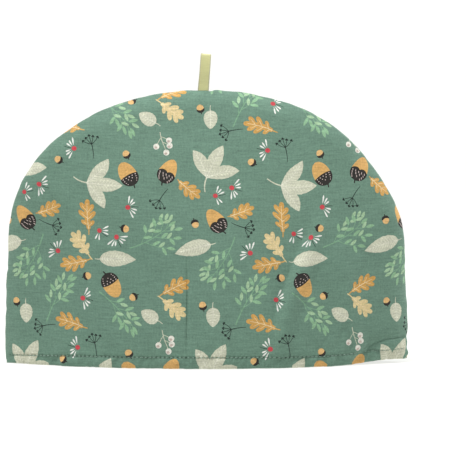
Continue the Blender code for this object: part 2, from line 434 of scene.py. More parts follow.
@dataclass(frozen=True)
class TinyAcorn(Motif):
    """A small acorn, its cap upwards."""

    def draw(self) -> list[Patch]:
        """The nut, the cap and the stalk."""
        turn = np.linspace(math.radians(-14), math.radians(194), 11)
        over = np.stack((3.3 * np.cos(turn), 0.5 + 2.8 * np.sin(turn)), -1)
        under = np.array(((-1.5, 0.7), (0, 1.1), (1.5, 0.7)))
        stalk = Rib((0, 3), 80, 1.5)
        return [dot(Ink.NUT_LIGHT, 0, -0.7, 2.9, 1.05, 12), stalk.stroke(Ink.CAP, 0.9, 0.7, steps=1),
                Patch(Ink.CAP, np.concatenate((over, under)))]


@dataclass(frozen=True)
class Sprig(Motif):
    """A light green sprig: a bent stem with side twigs, all ending in small leaves."""

    length: float = 38
    bend: float = 26
    twigs: Rows = (
        (0.26, 48, 16),
        (0.36, -52, 19),
        (0.5, 46, 18),
        (0.6, -46, 15.5),
        (0.73, 42, 12.5),
        (0.82, -40, 9.5),
        (0.9, 34, 7),
    )
    leaf_length: float = 7
    leaf_width: float = 2.7

    def leaf(self, at: Array, heading: float, light: bool) -> Patch:
        """One small leaf.

        Args:
            at: Its foot.
            heading: Its heading in degrees.
            light: Whether it has the lighter of the two inks.

        Returns:
            The patch.
        """
        rib = Rib(tuple(at), heading, self.leaf_length * (0.9 if light else 1), 10 if light else -12)
        share = rounded(7)
        half = self.leaf_width / 2 * bulge(share, 0.7, 0.75)
        return rib.blade(Ink.SPRIG_LIGHT if light else Ink.SPRIG, share, half, half)

    def draw(self) -> list[Patch]:
        """The stem, the twigs and their leaves."""
        rib = Rib((-self.length * 0.52, 0), -self.bend / 2, self.length, self.bend)
        patches = [rib.stroke(Ink.SPRIG_STEM, 1, 0.5, steps=7)]
        leaves = [self.leaf(rib.at(0.98), rib.heading_at(1), False)]
        for number, (place, turn, length) in enumerate(self.twigs):
            twig = Rib(tuple(rib.at(place)), rib.heading_at(place) + turn, length, -turn * 0.45)
            patches.append(twig.stroke(Ink.SPRIG_STEM, 0.6, 0.4, steps=3))
            leaves.append(self.leaf(twig.at(0.96), twig.heading_at(1), number % 2 == 0))
            if length > 8:
                leaves.append(self.leaf(twig.at(0.62), twig.heading_at(0.6) + 46, number % 2 == 1))
            if length > 10:
                leaves.append(self.leaf(twig.at(0.76), twig.heading_at(0.8) - 48, number % 2 == 0))
            if length > 15:
                leaves.append(self.leaf(twig.at(0.34), twig.heading_at(0.3) - math.copysign(52, turn), False))
        return patches + leaves


@dataclass(frozen=True)
class Umbel(Motif):
    """A near-black seed head: a fan of rays with small clusters at their ends."""

    stem: float = 12
    rays: Rows = ((-58, 7.6), (-30, 6.8), (-3, 7.4), (24, 6.6), (54, 7.8))

    def draw(self) -> list[Patch]:
        """The stem, the rays and the clusters."""
        patches = [Rib((-1, 0), 180, self.stem, 14).stroke(Ink.UMBEL, 0.75, 0.4, steps=4)]
        for heading, length in self.rays:
            ray = Rib((-1, 0), heading * 1.25, length, -heading * 0.5)
            patches.append(ray.stroke(Ink.UMBEL, 0.55, 0.45, steps=3))
            end, out = ray.at(1), math.radians(ray.heading_at(1))
            for aside, ahead, radius in ((0, 0.3, 0.85), (0.8, -0.3, 0.6), (-0.8, -0.2, 0.6)):
                x = end[0] + ahead * math.cos(out) - aside * math.sin(out)
                y = end[1] + ahead * math.sin(out) + aside * math.cos(out)
                patches.append(dot(Ink.UMBEL, x, y, radius, steps=6))
        return patches


@dataclass(frozen=True)
class HalfDaisy(Motif):
    """A red dot with white petals on one side, and a dark stamen between them."""

    petals: Rows = (
        (64, 7.2), (42, 6), (22, 4.8), (-32, 5), (-56, 5.4), (-80, 6.9)
    )
    stamen: Pair = (-8, 6.4)
    start: float = 2.6

    def draw(self) -> list[Patch]:
        """The petals, the stamen and the dot."""
        patches = []
        share = rounded(6)
        for heading, length in self.petals:
            way = math.radians(heading)
            foot = (self.start * math.cos(way) - 2.6, self.start * math.sin(way))
            half = 0.66 * bulge(share, 1.15, 0.45)
            patches.append(Rib(foot, heading, length).blade(Ink.PETAL, share, half, half))
        patches.append(Rib((0, -0.3), *self.stamen, -12).stroke(Ink.UMBEL, 0.5, 0.4, steps=3))
        patches.append(dot(Ink.RED, -2.6, 0, 2.1, 0.94, 12))
        return patches


@dataclass(frozen=True)
class BerrySprig(Motif):
    """A thin pale stem with round pale berries."""

    berries: Rows = (
        (0.3, 62, 7.4), (0.36, -48, 8.6), (0.66, 50, 6.6), (1, -12, 5)
    )

    def draw(self) -> list[Patch]:
        """The stem, its twigs and the berries."""
        rib = Rib((-11, 0), -8, 13, 20)
        patches = [rib.stroke(Ink.PALE, 0.7, 0.5, steps=5)]
        for place, turn, length in self.berries:
            twig = Rib(tuple(rib.at(place)), rib.heading_at(place) + turn, length, -turn * 0.3)
            patches.append(twig.stroke(Ink.PALE, 0.5, 0.4, steps=3))
            x, y = twig.at(1)
            patches.append(dot(Ink.BERRY, x, y, 2.5, 1, 12))
            patches.append(dot(Ink.BERRY_SHADE, x + 0.7, y - 0.6, 1.1, 1.2, 8))
        return patches


class Stamp(Enum):
    """The motifs that the repeat is composed of."""

    SPRAY = LeafSpray()
    LONG_LEAF = PaleLeaf()
    SMALL_LEAF = PaleLeaf(length=15.5, width=11.2, bend=8, foot=0.5, tip=0.72, veins=6, stem=4.6)
    OAK_PAIR = OakPair()
    OAK_LEAF = OakLeaf()
    ACORN = Acorn()
    ACORN_LEAF = Group((
        (OakLeaf(length=20.5, width=12.6, stem=2.5, bend=-10), 12.8, 9, 24, 1),
        (Acorn(nut_length=13.4, point=1.55, cap_width=15.2, cap_height=8, scallop=1.7, dashed=True),
         -7.6, -1, 12, 1),
    ))
    TINY_ACORN = TinyAcorn()
    BUSHY_SPRIG = Sprig()
    SLIM_SPRIG = Sprig(
        length=40, bend=-18, leaf_length=7.6, leaf_width=2.8,
        twigs=((0.28, 34, 9.5), (0.38, -34, 11.5), (0.5, 34, 11), (0.62, -32, 10.5),
               (0.74, 30, 8.5), (0.86, -28, 6)),
    )
    UMBEL = Umbel()
    DAISY = HalfDaisy()
    DAISY_PAIR = Group((
        (HalfDaisy(), -5.5, 4.6, 196, 1),
        (HalfDaisy(petals=((70, 5.6), (44, 5.6), (-26, 6), (-50, 5.4), (-74, 6.6))), 6, -4, 168, 0.95),
    ))
    BERRIES = BerrySprig()


# ---- The cosy's form ----


def smooth(value: Array, low: float, high: float) -> Array:
    """0 below low, 1 above high, and a smooth rise between."""
    share = np.clip((value - low) / (high - low), 0, 1)
    return share * share * (3 - 2 * share)


def hashed(cell: Array, seed: int) -> Array:
    """A repeatable number from -1 to 1 for each whole number."""
    mixed_up = np.sin(cell * HASH[0] + seed * HASH[1]) * HASH[2]
    return 2 * (mixed_up - np.floor(mixed_up)) - 1


def waver(along: Array, pitch: float, seed: int) -> Array:
    """Soft uneven waves along a line.

    Args:
        along: Places along the line.
        pitch: Distance between one turning point and the next.
        seed: Which waves.

    Returns:
        Heights, mostly within -1 to 1.
    """
    place = along / pitch
    cell = np.floor(place)
    eased = smooth(place - cell, 0, 1)
    return hashed(cell, seed) * (1 - eased) + hashed(cell + 1, seed) * eased


def crumple(x: Array, z: Array, pitch: float, seed: int) -> Array:
    """Soft uneven hills over a surface, with a pitch from hill to hill. Heights are mostly within -1 to 1."""
    cell = np.floor(z / pitch)
    eased = smooth(z / pitch - cell, 0, 1)
    low, high = (waver(x + hashed(cell + step, seed) * ROW_SHIFT * pitch, pitch, seed + 3) for step in (0, 1))
    return low * (1 - eased) + high * eased


@dataclass(frozen=True)
class Waves:
    """Soft uneven waves that lie over each other, each with its height, pitch, slant and seed."""

    parts: Rows

    def at(self, seed: int, x: Array, z: Array | float = 0) -> Array:
        """The waves' height together at places along them, and up if they slant, from a first seed."""
        return sum(high * waver(x + slant * z, pitch, seed + own) for high, pitch, slant, own in self.parts)


@dataclass(frozen=True)
class Fold:
    """A soft trough (depth above 0) or ridge (depth below 0) along a path of (x, z) points, in metres."""

    depth: float
    half_width: float
    path: Rows

    def nearest(self, x: Array, z: Array) -> tuple[Array, Array]:
        """How places lie to the path.

        Args:
            x: Places across.
            z: Places up.

        Returns:
            Their distances from the path, and the share of its length at which each is nearest.
        """
        distance = np.full(np.shape(x), np.inf)
        place = np.zeros(np.shape(x))
        passed = 0
        for (start_x, start_z), (end_x, end_z) in zip(self.path, self.path[1:]):
            step_x, step_z = end_x - start_x, end_z - start_z
            length = math.hypot(step_x, step_z)
            share = np.clip(((x - start_x) * step_x + (z - start_z) * step_z) / length**2, 0, 1)
            away = np.hypot(x - start_x - share * step_x, z - start_z - share * step_z)
            place = np.where(away < distance, passed + share * length, place)
            distance = np.minimum(distance, away)
            passed += length
        return distance, place / passed

    def push(self, x: Array, z: Array, end_share: float) -> Array:
        """How far the fold pushes places in, with end_share of its depth at its ends."""
        distance, place = self.nearest(x, z)
        return self.depth * 0.5 ** ((distance / self.half_width) ** 2) * (
            end_share + (1 - end_share) * np.sin(math.pi * place)
        )

    def points(self, pitch: float, offsets: tuple[float, ...]) -> Array:
        """Points on and beside the path.

        Args:
            pitch: Their spacing along it.
            offsets: Their distances to its side, in half widths.

        Returns:
            The points, one row each.
        """
        made = []
        for start, end in zip(np.array(self.path), np.array(self.path)[1:]):
            along = end - start
            length = float(np.hypot(*along))
            aside = np.array((-along[1], along[0])) / length * self.half_width
            for share in np.arange(0, 1, pitch / length):
                made += [start + along * share + aside * offset for offset in offsets]
        return np.array(made)


@dataclass(frozen=True)
class Nick:
    """A place where the seam draws in (depth above 0) or stands out (depth below 0), in metres."""

    x: float
    z: float
    depth: float
    half_width: float


@dataclass(frozen=True)
class CosyShape:
    """One panel's form, in metres. Sizes with the same meaning as the solids' have their values."""

    side: float  # -1 is the front, and 1 the back
    folds: tuple[Fold, ...]
    creases: tuple[Fold, ...]
    nicks: tuple[Nick, ...]
    lift_from: float
    seed: int

    # The outline: straight sides that flare, under a dome that leans a little
    width: float = 0.3292
    spring: float = 0.0925
    dome_top: float = 0.223
    dome_half: float = 0.162
    power: float = 2.1
    top_shift: float = -0.0019
    shift_heights: Pair = (0.105, 0.15)
    shoulder_fall: float = 0.0034
    shoulder_height: float = 0.172
    shoulder_reach: float = 0.034

    # The padded panel, which bows away from the other one
    hem_depth: float = 0.104
    padding: float = 0.005
    bow_power: float = 1.5
    edge_power: float = 1.05
    beyond_seam: float = -0.5  # how far past the seam the bow goes on, as a share
    fold_end: float = 0.35
    fold_clearance: float = 0.012
    crease_end: float = 0.25

    # The seam, where the padding rolls over and thins
    edge_roll: float = 0.0075
    edge_thins: float = 0.0021
    edge_thins_over: float = 0.014
    seam_round: float = 0.15  # radius of the arc that stands in for the seam where its length counts
    seam_middle: float = 0.06  # height of that arc's middle
    ragged_waves: Waves = Waves(((0.00028, 0.0055, 0, 5), (0.00034, 0.021, 0, 8)))
    ragged_reach: float = 0.007
    seam_pucker: float = 0.00036
    seam_pucker_waves: Waves = Waves(((1, 0.0042, 0, 11), (0.7, 0.0105, 0, 12)))
    seam_pucker_reach: float = 0.0045

    # The hem's turned edge
    hem_cut: float = 0.002
    hem_ease: float = 0.0009  # how softly its line leaves the table
    hem_rest: float = 0.00023  # how high its waves lie
    hem_waves: Waves = Waves(((0.0002, 0.0065, 0, 51), (0.00014, 0.0024, 0, 52)))
    hem_round: float = 0.84
    fold_share: float = 0.78
    fold_reach: float = 0.0055
    hem_allowance: float = 0.012  # how far the cloth that is turned in reaches up inside
    allowance_step: float = 0.0004
    allowance_above: Pair = (0.0018, 0.004)  # where it starts to show above the edge
    allowance_beside: Pair = (0.002, 0.009)  # where it starts to show beside the seam
    cloth_thickness: float = 0.0005

    # The hem's topstitching
    stitch_at: float = 0.0092
    stitch_drop: float = 0.0025
    drop_power: int = 3
    stitch_pitch: float = 0.00343
    stitch_edge: float = 0.0042  # from the side seam to the first stitch
    stitch_uneven: float = 0.00022  # how much the stitches differ in length
    stitch_wander: Waves = Waves(((0.00012, 0.03, 0, 42),))
    stitch_waver: float = 0.00006
    stitch_seeds: tuple[int, int] = (41, 43)
    stitch_share: float = 0.905
    stitch_reach: float = 0.0013
    hem_pressed: float = 0.9  # how much of the stitching's dip the hem below it keeps
    pit_depth: float = 0.00125  # how deep the thread pulls the cloth in where it enters
    pit_reach: float = 0.00066

    # The puckers that the stitching makes, down to the edge and above it
    lower_pucker: float = 0.0014
    lower_waves: Waves = Waves(((0.44, 0.0024, -0.4, 23), (0.9, 0.011, 0, 24), (0.7, 0.0052, -0.2, 26)))
    upper_pucker: float = 0.0008
    upper_waves: Waves = Waves(((1, 0.0052, 0.25, 21), (0.8, 0.0135, 0.25, 22), (0.32, 0.0023, 0.25, 25)))
    upper_reach: float = 0.006

    # The soft hills of the padding: height, slant, stretch upwards, pitch and seed of each
    hills: Rows = (
        (0.0005, 0.3, 1, 0.017, 31),
        (0.0011, -0.2, 0.8, 0.038, 32),
    )

    # The curled corner, where the stitching lies looser
    corner_lift: float = 0.005
    lift_to: float = 0.15
    corner_slack: float = 0.6
    slack_between: Pair = (0.085, 0.12)

    # The pocket in the top seam that holds the ribbon
    loop_x: float = -0.003
    pocket_across: Pair = (0.0046, 0.0115)
    pocket_down: Pair = (0.009, 0.016)
    ribbon_room: float = 0.00085  # from the seam's plane to a panel's inner face beside the ribbon

    @property
    def dome_rise(self) -> float:
        """Height of the dome above the spring line."""
        return self.dome_top - self.spring

    def half_width(self, z: Array) -> Array:
        """Half the panel's width at heights up to the spring line."""
        flare = self.width / 2 - self.dome_half
        return self.dome_half + flare * (1 - (np.clip(z, 0, self.spring) / self.spring) ** 2)

    def insideness(self, x: Array, z: Array) -> Array:
        """1 on the middle line at the hem, 0 all along the seam, and below 0 outside it."""
        up = np.maximum(z - self.spring, 0) / self.dome_rise
        return 1 - (np.abs(x) / self.half_width(z)) ** self.power - up**self.power

    def uphill(self, x: Array, z: Array) -> tuple[Array, Array]:
        """How fast insideness falls towards the seam, along x and along z."""
        steep = self.power - 1
        slope_x = self.power * (np.abs(x) / self.dome_half) ** steep / self.dome_half * np.sign(x)
        slope_z = self.power * (np.maximum(z - self.spring, 0) / self.dome_rise) ** steep / self.dome_rise
        return slope_x, slope_z

    def seam_distance(self, x: Array, z: Array) -> Array:
        """About how far places are from the seam."""
        steepness = np.hypot(*self.uphill(x, z))
        return self.insideness(x, z) / np.maximum(steepness, 1 / self.dome_half)

    def hem_lift(self, x: Array) -> Array:
        """How far the curled corner raises the hem, as the solid's does."""
        return self.corner_lift * smooth(x, self.lift_from, self.lift_to)

    def hem_line(self, x: Array) -> Array:
        """Height of the hem's lowest edge, which is on the table except at the curled corner."""
        above = self.hem_lift(x) - self.hem_cut
        eased = 0.5 * (above + np.sqrt(above**2 + self.hem_ease**2))
        lifted = eased * smooth(self.hem_lift(x), 0, self.hem_cut)
        return lifted + self.hem_rest + self.hem_waves.at(self.seed, x)

    def stitch_height(self, x: Array) -> Array:
        """Height of the hem's topstitching."""
        drop = self.stitch_drop * np.minimum(np.abs(x) / (self.width / 2), 1) ** self.drop_power
        return self.stitch_at - drop + self.hem_lift(x)

    @cached_property
    def needle_holes(self) -> Array:
        """Where the hem's topstitching enters the cloth, as rows of x and z."""
        samples = 3000
        reach = self.width / 2 - self.stitch_edge
        x = np.linspace(-reach, reach, samples)
        line = self.inner(x, self.stitch_height(x))
        passed = np.concatenate(([0], np.cumsum(np.linalg.norm(np.diff(line, axis=0), axis=1))))
        spots = np.arange(self.stitch_pitch / 2, passed[-1], self.stitch_pitch)
        along, up = (hashed(np.arange(len(spots)), seed) for seed in self.stitch_seeds)
        at_x = np.interp(spots + self.stitch_uneven * along, passed, x)
        high = self.stitch_height(at_x) + self.stitch_wander.at(0, at_x) + self.stitch_waver * up
        return np.stack((at_x, high), -1)

    def pull(self, x: Array) -> Array:
        """How tight the topstitching is: 1, and less in the curled corner."""
        return 1 - self.corner_slack * smooth(x, *self.slack_between)

    def pits(self, x: Array, z: Array) -> Array:
        """How far the topstitching pulls the cloth in at its needle holes."""
        holes = self.needle_holes
        after = np.clip(np.searchsorted(holes[:, 0], x), 1, len(holes) - 1)
        away = [np.hypot(x - holes[number, 0], z - holes[number, 1]) for number in (after - 1, after)]
        return self.pull(x) * self.pit_depth * np.exp(-((np.minimum(*away) / self.pit_reach) ** 2))

    def along_seam(self, x: Array, z: Array) -> Array:
        """Places along the seam, as a length round the dome."""
        return self.seam_round * np.arctan2(z - self.seam_middle, x)

    def ragged(self, x: Array, z: Array) -> Array:
        """How far the uneven seam moves places outwards in the seam's own plane."""
        out = self.ragged_waves.at(0, self.along_seam(x, z))
        for nick in self.nicks:
            away = np.hypot(x - nick.x, z - nick.z)
            out = out - nick.depth * 0.5 ** ((away / nick.half_width) ** 2)
        return out * np.exp(-((self.seam_distance(x, z) / self.ragged_reach) ** 2))

    def pocket(self, x: Array, z: Array) -> Array:
        """1 where the panels part to hold the ends of the ribbon, and 0 away from it."""
        across = 1 - smooth(np.abs(x + self.top_shift - self.loop_x), *self.pocket_across)
        return across * (1 - smooth(self.dome_top - z, *self.pocket_down))

    def inner_bow(self, x: Array, z: Array) -> Array:
        """Distance from the seam's plane to the inner face, before its folds."""
        reach = self.hem_depth / 2 - self.padding * self.fold_share
        middle = reach * (1 - (np.clip(z, 0, self.dome_top) / self.dome_top) ** self.bow_power)
        share = self.insideness(x, z) / np.maximum(self.insideness(0 * x, z), TINY)
        share = np.clip(share, self.beyond_seam, 1)
        across = np.sign(share) * np.abs(share) ** self.edge_power
        return np.maximum(middle * across, self.ribbon_room * self.pocket(x, z))

    def inner(self, x: Array, z: Array) -> Array:
        """Places on the inner face, before its hem and wrinkles: one row of x, y and z each."""
        pushed = sum(fold.push(x, z, self.fold_end) for fold in self.folds)
        pushed = pushed * smooth(self.seam_distance(x, z), 0, self.fold_clearance)
        fall = np.exp(-(((z - self.shoulder_height) / self.shoulder_reach) ** 2)) * np.maximum(x, 0)
        uneven = self.top_shift * smooth(z, *self.shift_heights)
        uneven = uneven - self.shoulder_fall * fall / self.dome_half
        slope_x, slope_z = self.uphill(x, z)
        steepness = np.maximum(np.hypot(slope_x, slope_z), TINY)
        out = self.ragged(x, z)
        y = self.side * (self.inner_bow(x, z) - pushed)
        return np.stack((x + uneven + out * slope_x / steepness, y, z + out * slope_z / steepness), -1)

    def outward(self, x: Array, z: Array) -> Array:
        """Directions out of the inner face, away from the seam's plane."""
        step = 0.0004
        across = self.inner(x + step, z) - self.inner(x - step, z)
        up = self.inner(x, z + step) - self.inner(x, z - step)
        out = np.cross(across, up) * -self.side
        return out / np.linalg.norm(out, axis=-1, keepdims=True)

    def roll(self, x: Array, z: Array) -> Array:
        """0 at the seam, 1 past the rounded edge, and a quarter circle between."""
        inward = np.clip(self.seam_distance(x, z) / self.edge_roll, 0, 1)
        return np.sqrt(np.maximum(1 - (1 - inward) ** 2, 0))

    def thickness(self, x: Array, z: Array) -> Array:
        """The padding's thickness."""
        fold = self.hem_round + (1 - self.hem_round) * smooth(z - self.hem_line(x), 0, self.fold_reach)
        from_stitch = (z - self.stitch_height(x)) / self.stitch_reach
        dip = np.exp(-(from_stitch**2))
        dip = np.where(from_stitch < 0, self.hem_pressed + (1 - self.hem_pressed) * dip, dip)
        stitch = 1 - (1 - self.stitch_share) * dip * self.pull(x)
        thinned = self.edge_thins * (1 - smooth(self.seam_distance(x, z), 0, self.edge_thins_over))
        return (self.padding - thinned) * self.roll(x, z) * fold * stitch

    def seam_puckers(self, x: Array, z: Array) -> Array:
        """How far the gathered seam raises the cloth beside it."""
        away = np.maximum(self.seam_distance(x, z), 0) / self.seam_pucker_reach
        waves = self.seam_pucker_waves.at(self.seed, self.along_seam(x, z))
        return self.seam_pucker * waves * away * np.exp(1 - away)

    def hem_puckers(self, x: Array, z: Array) -> Array:
        """How far the topstitching's pull raises the cloth, below it and above it."""
        stitching = self.stitch_height(x)
        above = z - stitching
        height = np.clip((z - self.hem_line(x)) / np.maximum(stitching, TINY), 0, 1)
        band = np.where(above < 0, np.sin(math.pi * height), 0)
        over = np.clip(above / self.upper_reach, 0, None)
        over = over * np.exp(1 - over)
        lower = self.lower_pucker * self.lower_waves.at(self.seed, x, z) * band
        return lower + self.upper_pucker * self.upper_waves.at(self.seed, x, z) * over

    def wrinkles(self, x: Array, z: Array) -> Array:
        """How far small wrinkles raise the outer cloth."""
        soft = sum(
            height * crumple(x + slant * z, stretch * z, pitch, self.seed + own)
            for height, slant, stretch, pitch, own in self.hills
        )
        raised = self.seam_puckers(x, z) + self.hem_puckers(x, z) + soft - self.pits(x, z)
        for crease in self.creases:
            raised = raised - crease.push(x, z, self.crease_end)
        return raised * self.roll(x, z)

    def outer(self, x: Array, z: Array) -> Array:
        """Places on the printed outer face: one row of x, y and z each."""
        out = self.thickness(x, z) + self.wrinkles(x, z)
        return self.inner(x, z) + self.outward(x, z) * out[..., None]

    def lining(self, x: Array, z: Array) -> Array:
        """Places on the inner face, with the step where the turned hem ends."""
        above = z - self.hem_line(x)
        band = 1 - smooth(above, self.hem_allowance, self.hem_allowance + self.allowance_step)
        band = band * smooth(above, *self.allowance_above)
        band = band * smooth(self.seam_distance(x, z), *self.allowance_beside)
        return self.inner(x, z) - self.outward(x, z) * (band * self.cloth_thickness)[..., None]

    def hem_radius(self, x: Array) -> Array:
        """Half the thickness of the hem's turned edge."""
        return self.thickness(x, self.hem_line(x)) / 2

    def hem_top(self, x: Array) -> Array:
        """Height at which the hem's turned edge starts on the printed face."""
        return self.hem_line(x) + self.hem_radius(x)

    def hem_turn(self, x: Array, turn: float) -> Array:
        """Places round the hem's turned edge.

        Args:
            x: Places across.
            turn: 0 on the outer face, half of pi underneath, and pi on the inner face.

        Returns:
            One row of x, y and z each.
        """
        top = self.hem_top(x)
        z = top - self.hem_radius(x) * math.sin(turn)
        deep = (self.thickness(x, top) + self.wrinkles(x, top)) * (1 + math.cos(turn)) / 2
        return self.inner(x, z) + self.outward(x, top) * deep[..., None]


# ---- The printed repeat ----


@dataclass(frozen=True)
class PrintRepeat:
    """The repeat of the printed cotton, charted in millimetres: a motif, its middle, its turn in degrees,
    and whether it is flipped over before it is turned."""

    width: float = 158
    height: float = 162
    chart: tuple[tuple[Stamp, float, float, float, bool], ...] = (
        (Stamp.ACORN, 8, 26, -150, False),
        (Stamp.UMBEL, 33, 4, -120, True),
        (Stamp.ACORN_LEAF, 48, 26, -15, True),
        (Stamp.DAISY_PAIR, 88, 11, 165, True),
        (Stamp.SPRAY, 144, 18, 0, True),
        (Stamp.TINY_ACORN, 7, 42, -150, False),
        (Stamp.BERRIES, 37, 51, -75, False),
        (Stamp.SPRAY, 78, 34, 60, False),
        (Stamp.TINY_ACORN, 109, 36, 60, True),
        (Stamp.DAISY, 119, 46, 180, False),
        (Stamp.UMBEL, 136, 51, 105, True),
        (Stamp.SMALL_LEAF, 24, 73, 150, True),
        (Stamp.SMALL_LEAF, 75, 72, -90, True),
        (Stamp.UMBEL, 89, 62, -165, True),
        (Stamp.OAK_LEAF, 114, 66, 165, False),
        (Stamp.SLIM_SPRIG, 155, 77, -45, False),
        (Stamp.TINY_ACORN, 11, 88, -60, False),
        (Stamp.OAK_PAIR, 44, 89, -90, False),
        (Stamp.TINY_ACORN, 67, 81, -165, False),
        (Stamp.SLIM_SPRIG, 104, 84, 60, False),
        (Stamp.DAISY, 129, 86, 0, False),
        (Stamp.TINY_ACORN, 130, 104, -75, True),
        (Stamp.ACORN, 151, 97, -150, True),
        (Stamp.LONG_LEAF, 59, 127, -165, False),
        (Stamp.BUSHY_SPRIG, 83, 120, -120, True),
        (Stamp.DAISY, 103, 125, 150, False),
        (Stamp.OAK_PAIR, 122, 121, 75, False),
        (Stamp.LONG_LEAF, 156, 118, 0, True),
        (Stamp.TINY_ACORN, 4, 143, 75, False),
        (Stamp.DAISY, 10, 161, 15, False),
        (Stamp.BUSHY_SPRIG, 25, 137, 30, False),
        (Stamp.TINY_ACORN, 61, 148, 15, False),
        (Stamp.ACORN_LEAF, 84, 155, 45, True),
        (Stamp.UMBEL, 102, 144, -15, True),
        (Stamp.OAK_LEAF, 132, 154, 90, True),
        (Stamp.DAISY_PAIR, 149, 136, 120, True),
    )

    def over(self, low: Pair, high: Pair, start: Pair) -> list[Patch]:
        """The patches that fall on a stretch of cloth.

        Args:
            low: Its lowest corner, in millimetres.
            high: Its highest corner.
            start: Where a repeat starts.

        Returns:
            The patches, in the order in which they are printed.
        """

        def repeats(axis: int, size: float) -> range:
            """Which repeats reach the stretch along one direction."""
            first = math.floor((low[axis] - start[axis]) / size) - 1
            return range(first, math.ceil((high[axis] - start[axis]) / size) + 1)

        drawn = {stamp: stamp.value.draw() for stamp in Stamp}
        patches = []
        for column in repeats(0, self.width):
            for row in repeats(1, self.height):
                for stamp, x, y, turn, flipped in self.chart:
                    at = (x + start[0] + column * self.width, y + start[1] + row * self.height)
                    made = [patch.placed(*at, turn, flipped=flipped) for patch in drawn[stamp]]
                    patches += [
                        patch for patch in made
                        if np.all((patch.outline > low) & (patch.outline < high), axis=1).any()
                    ]
        return patches


# ---- Finishes ----


@dataclass(frozen=True)
class PrintedCotton:
    """Cotton canvas in plain weave, pigment printed and unglazed: matt, with slubs in its threads."""

    name: str = "printed_plain_weave_cotton"
    roughness: float = 0.88
    specular: float = 0.3
    sheen: float = 0.12  # the nap of its short fibres
    sheen_roughness: float = 0.5
    thread_pitch: float = 0.0009  # real threads are 0.4 mm apart, too fine to show, so they are drawn coarser
    thread_relief: Pair = (0.45, 0.00012)
    slub_length: float = 0.011
    slub_pitch: float = 0.0011
    slub_height: float = 1.6  # as a share of a thread's
    slub_colour: float = 0.58  # how much slubs lighten and darken the print
    warp_share: float = 0.5  # how much the warp's slubs show beside the weft's
    fleck_pitch: float = 0.0015
    fleck_colour: float = 0.74
    hill_pitch: float = 1 / 120  # of the soft unevenness that the padding gives the cloth
    hill_relief: Pair = (0.5, 0.0007)

    def slubs(self, tree: Tree, along: Socket, across: Socket, seed: float) -> Socket:
        """Thread streaks, as noise from 0 to 1 that is stretched along one direction of the cloth."""
        long = maths(tree, "MULTIPLY", along, 1 / self.slub_length)
        fine = maths(tree, "MULTIPLY", across, 1 / self.slub_pitch)
        spot = add_node(tree, "CombineXYZ", {2: seed}, {0: long, 1: fine})
        return noise(tree, spot.outputs[0], 1, 2, 0.6)

    def ribs(self, tree: Tree, across: Socket) -> Socket:
        """Rounded threads side by side, as a height from 0 to 1."""
        turn = maths(tree, "MULTIPLY", across, math.pi / self.thread_pitch)
        return maths(tree, "ABSOLUTE", maths(tree, "SINE", turn))

    def shade(self, tree: Tree, cloth: Socket, weft: Socket, warp: Socket) -> Socket:
        """How much lighter or darker slubs and flecks make the print, as a factor about 1.

        Args:
            tree: The material's node tree.
            cloth: Output socket of places on the cloth.
            weft: Output socket of the weft's slubs.
            warp: Output socket of the warp's slubs.

        Returns:
            The factor's output socket.
        """
        fleck = noise(tree, cloth, 1 / self.fleck_pitch, 2, 0.7)
        made = maths(tree, "MULTIPLY_ADD", weft, self.slub_colour, 1 - 0.5 * self.slub_colour)
        made = maths(tree, "MULTIPLY_ADD", warp, self.warp_share * self.slub_colour, made)
        made = maths(tree, "MULTIPLY_ADD", fleck, self.fleck_colour, made)
        middle = 0.5 * (self.warp_share * self.slub_colour + self.fleck_colour)
        return maths(tree, "SUBTRACT", made, middle)

    def make(self) -> Material:
        """The material, which reads the print from the cloth's own colours and the weave from its UV map."""
        material, tree, shader = new_material(self.name, {
            "Roughness": self.roughness,
            "Specular IOR Level": self.specular,
            "Sheen Weight": self.sheen,
            "Sheen Roughness": self.sheen_roughness,
        })
        ink = add_node(tree, "Attribute", attribute_name="print")
        cloth = add_node(tree, "UVMap", uv_map="cloth").outputs["UV"]
        x, y, _ = add_node(tree, "SeparateXYZ", links={0: cloth}).outputs
        weft, warp = self.slubs(tree, x, y, 1.7), self.slubs(tree, y, x, 9.2)
        shade = self.shade(tree, cloth, weft, warp)
        colour = add_node(tree, "VectorMath", links={0: ink.outputs["Color"], 1: shade}, operation="MULTIPLY")
        tree.links.new(colour.outputs[0], shader.inputs["Base Color"])

        cell = add_node(tree, "VectorMath", {"Scale": 1 / self.thread_pitch}, {0: cloth}, operation="SCALE")
        white_and_black = {"Color1": (1, 1, 1, 1), "Color2": (0, 0, 0, 1), "Scale": 1}
        over = add_node(tree, "TexChecker", white_and_black, {"Vector": cell.outputs[0]})
        both = {0: over.outputs["Fac"], 2: self.ribs(tree, x), 3: self.ribs(tree, y)}
        weave = add_node(tree, "Mix", links=both, data_type="FLOAT")
        uneven = maths(tree, "MULTIPLY_ADD", weft, self.slub_height, weave.outputs[0])
        threads = relief(tree, uneven, *self.thread_relief)
        hills = noise(tree, cloth, 1 / self.hill_pitch, 4, 0.6)
        tree.links.new(relief(tree, hills, *self.hill_relief, over=threads), shader.inputs["Normal"])
        return material


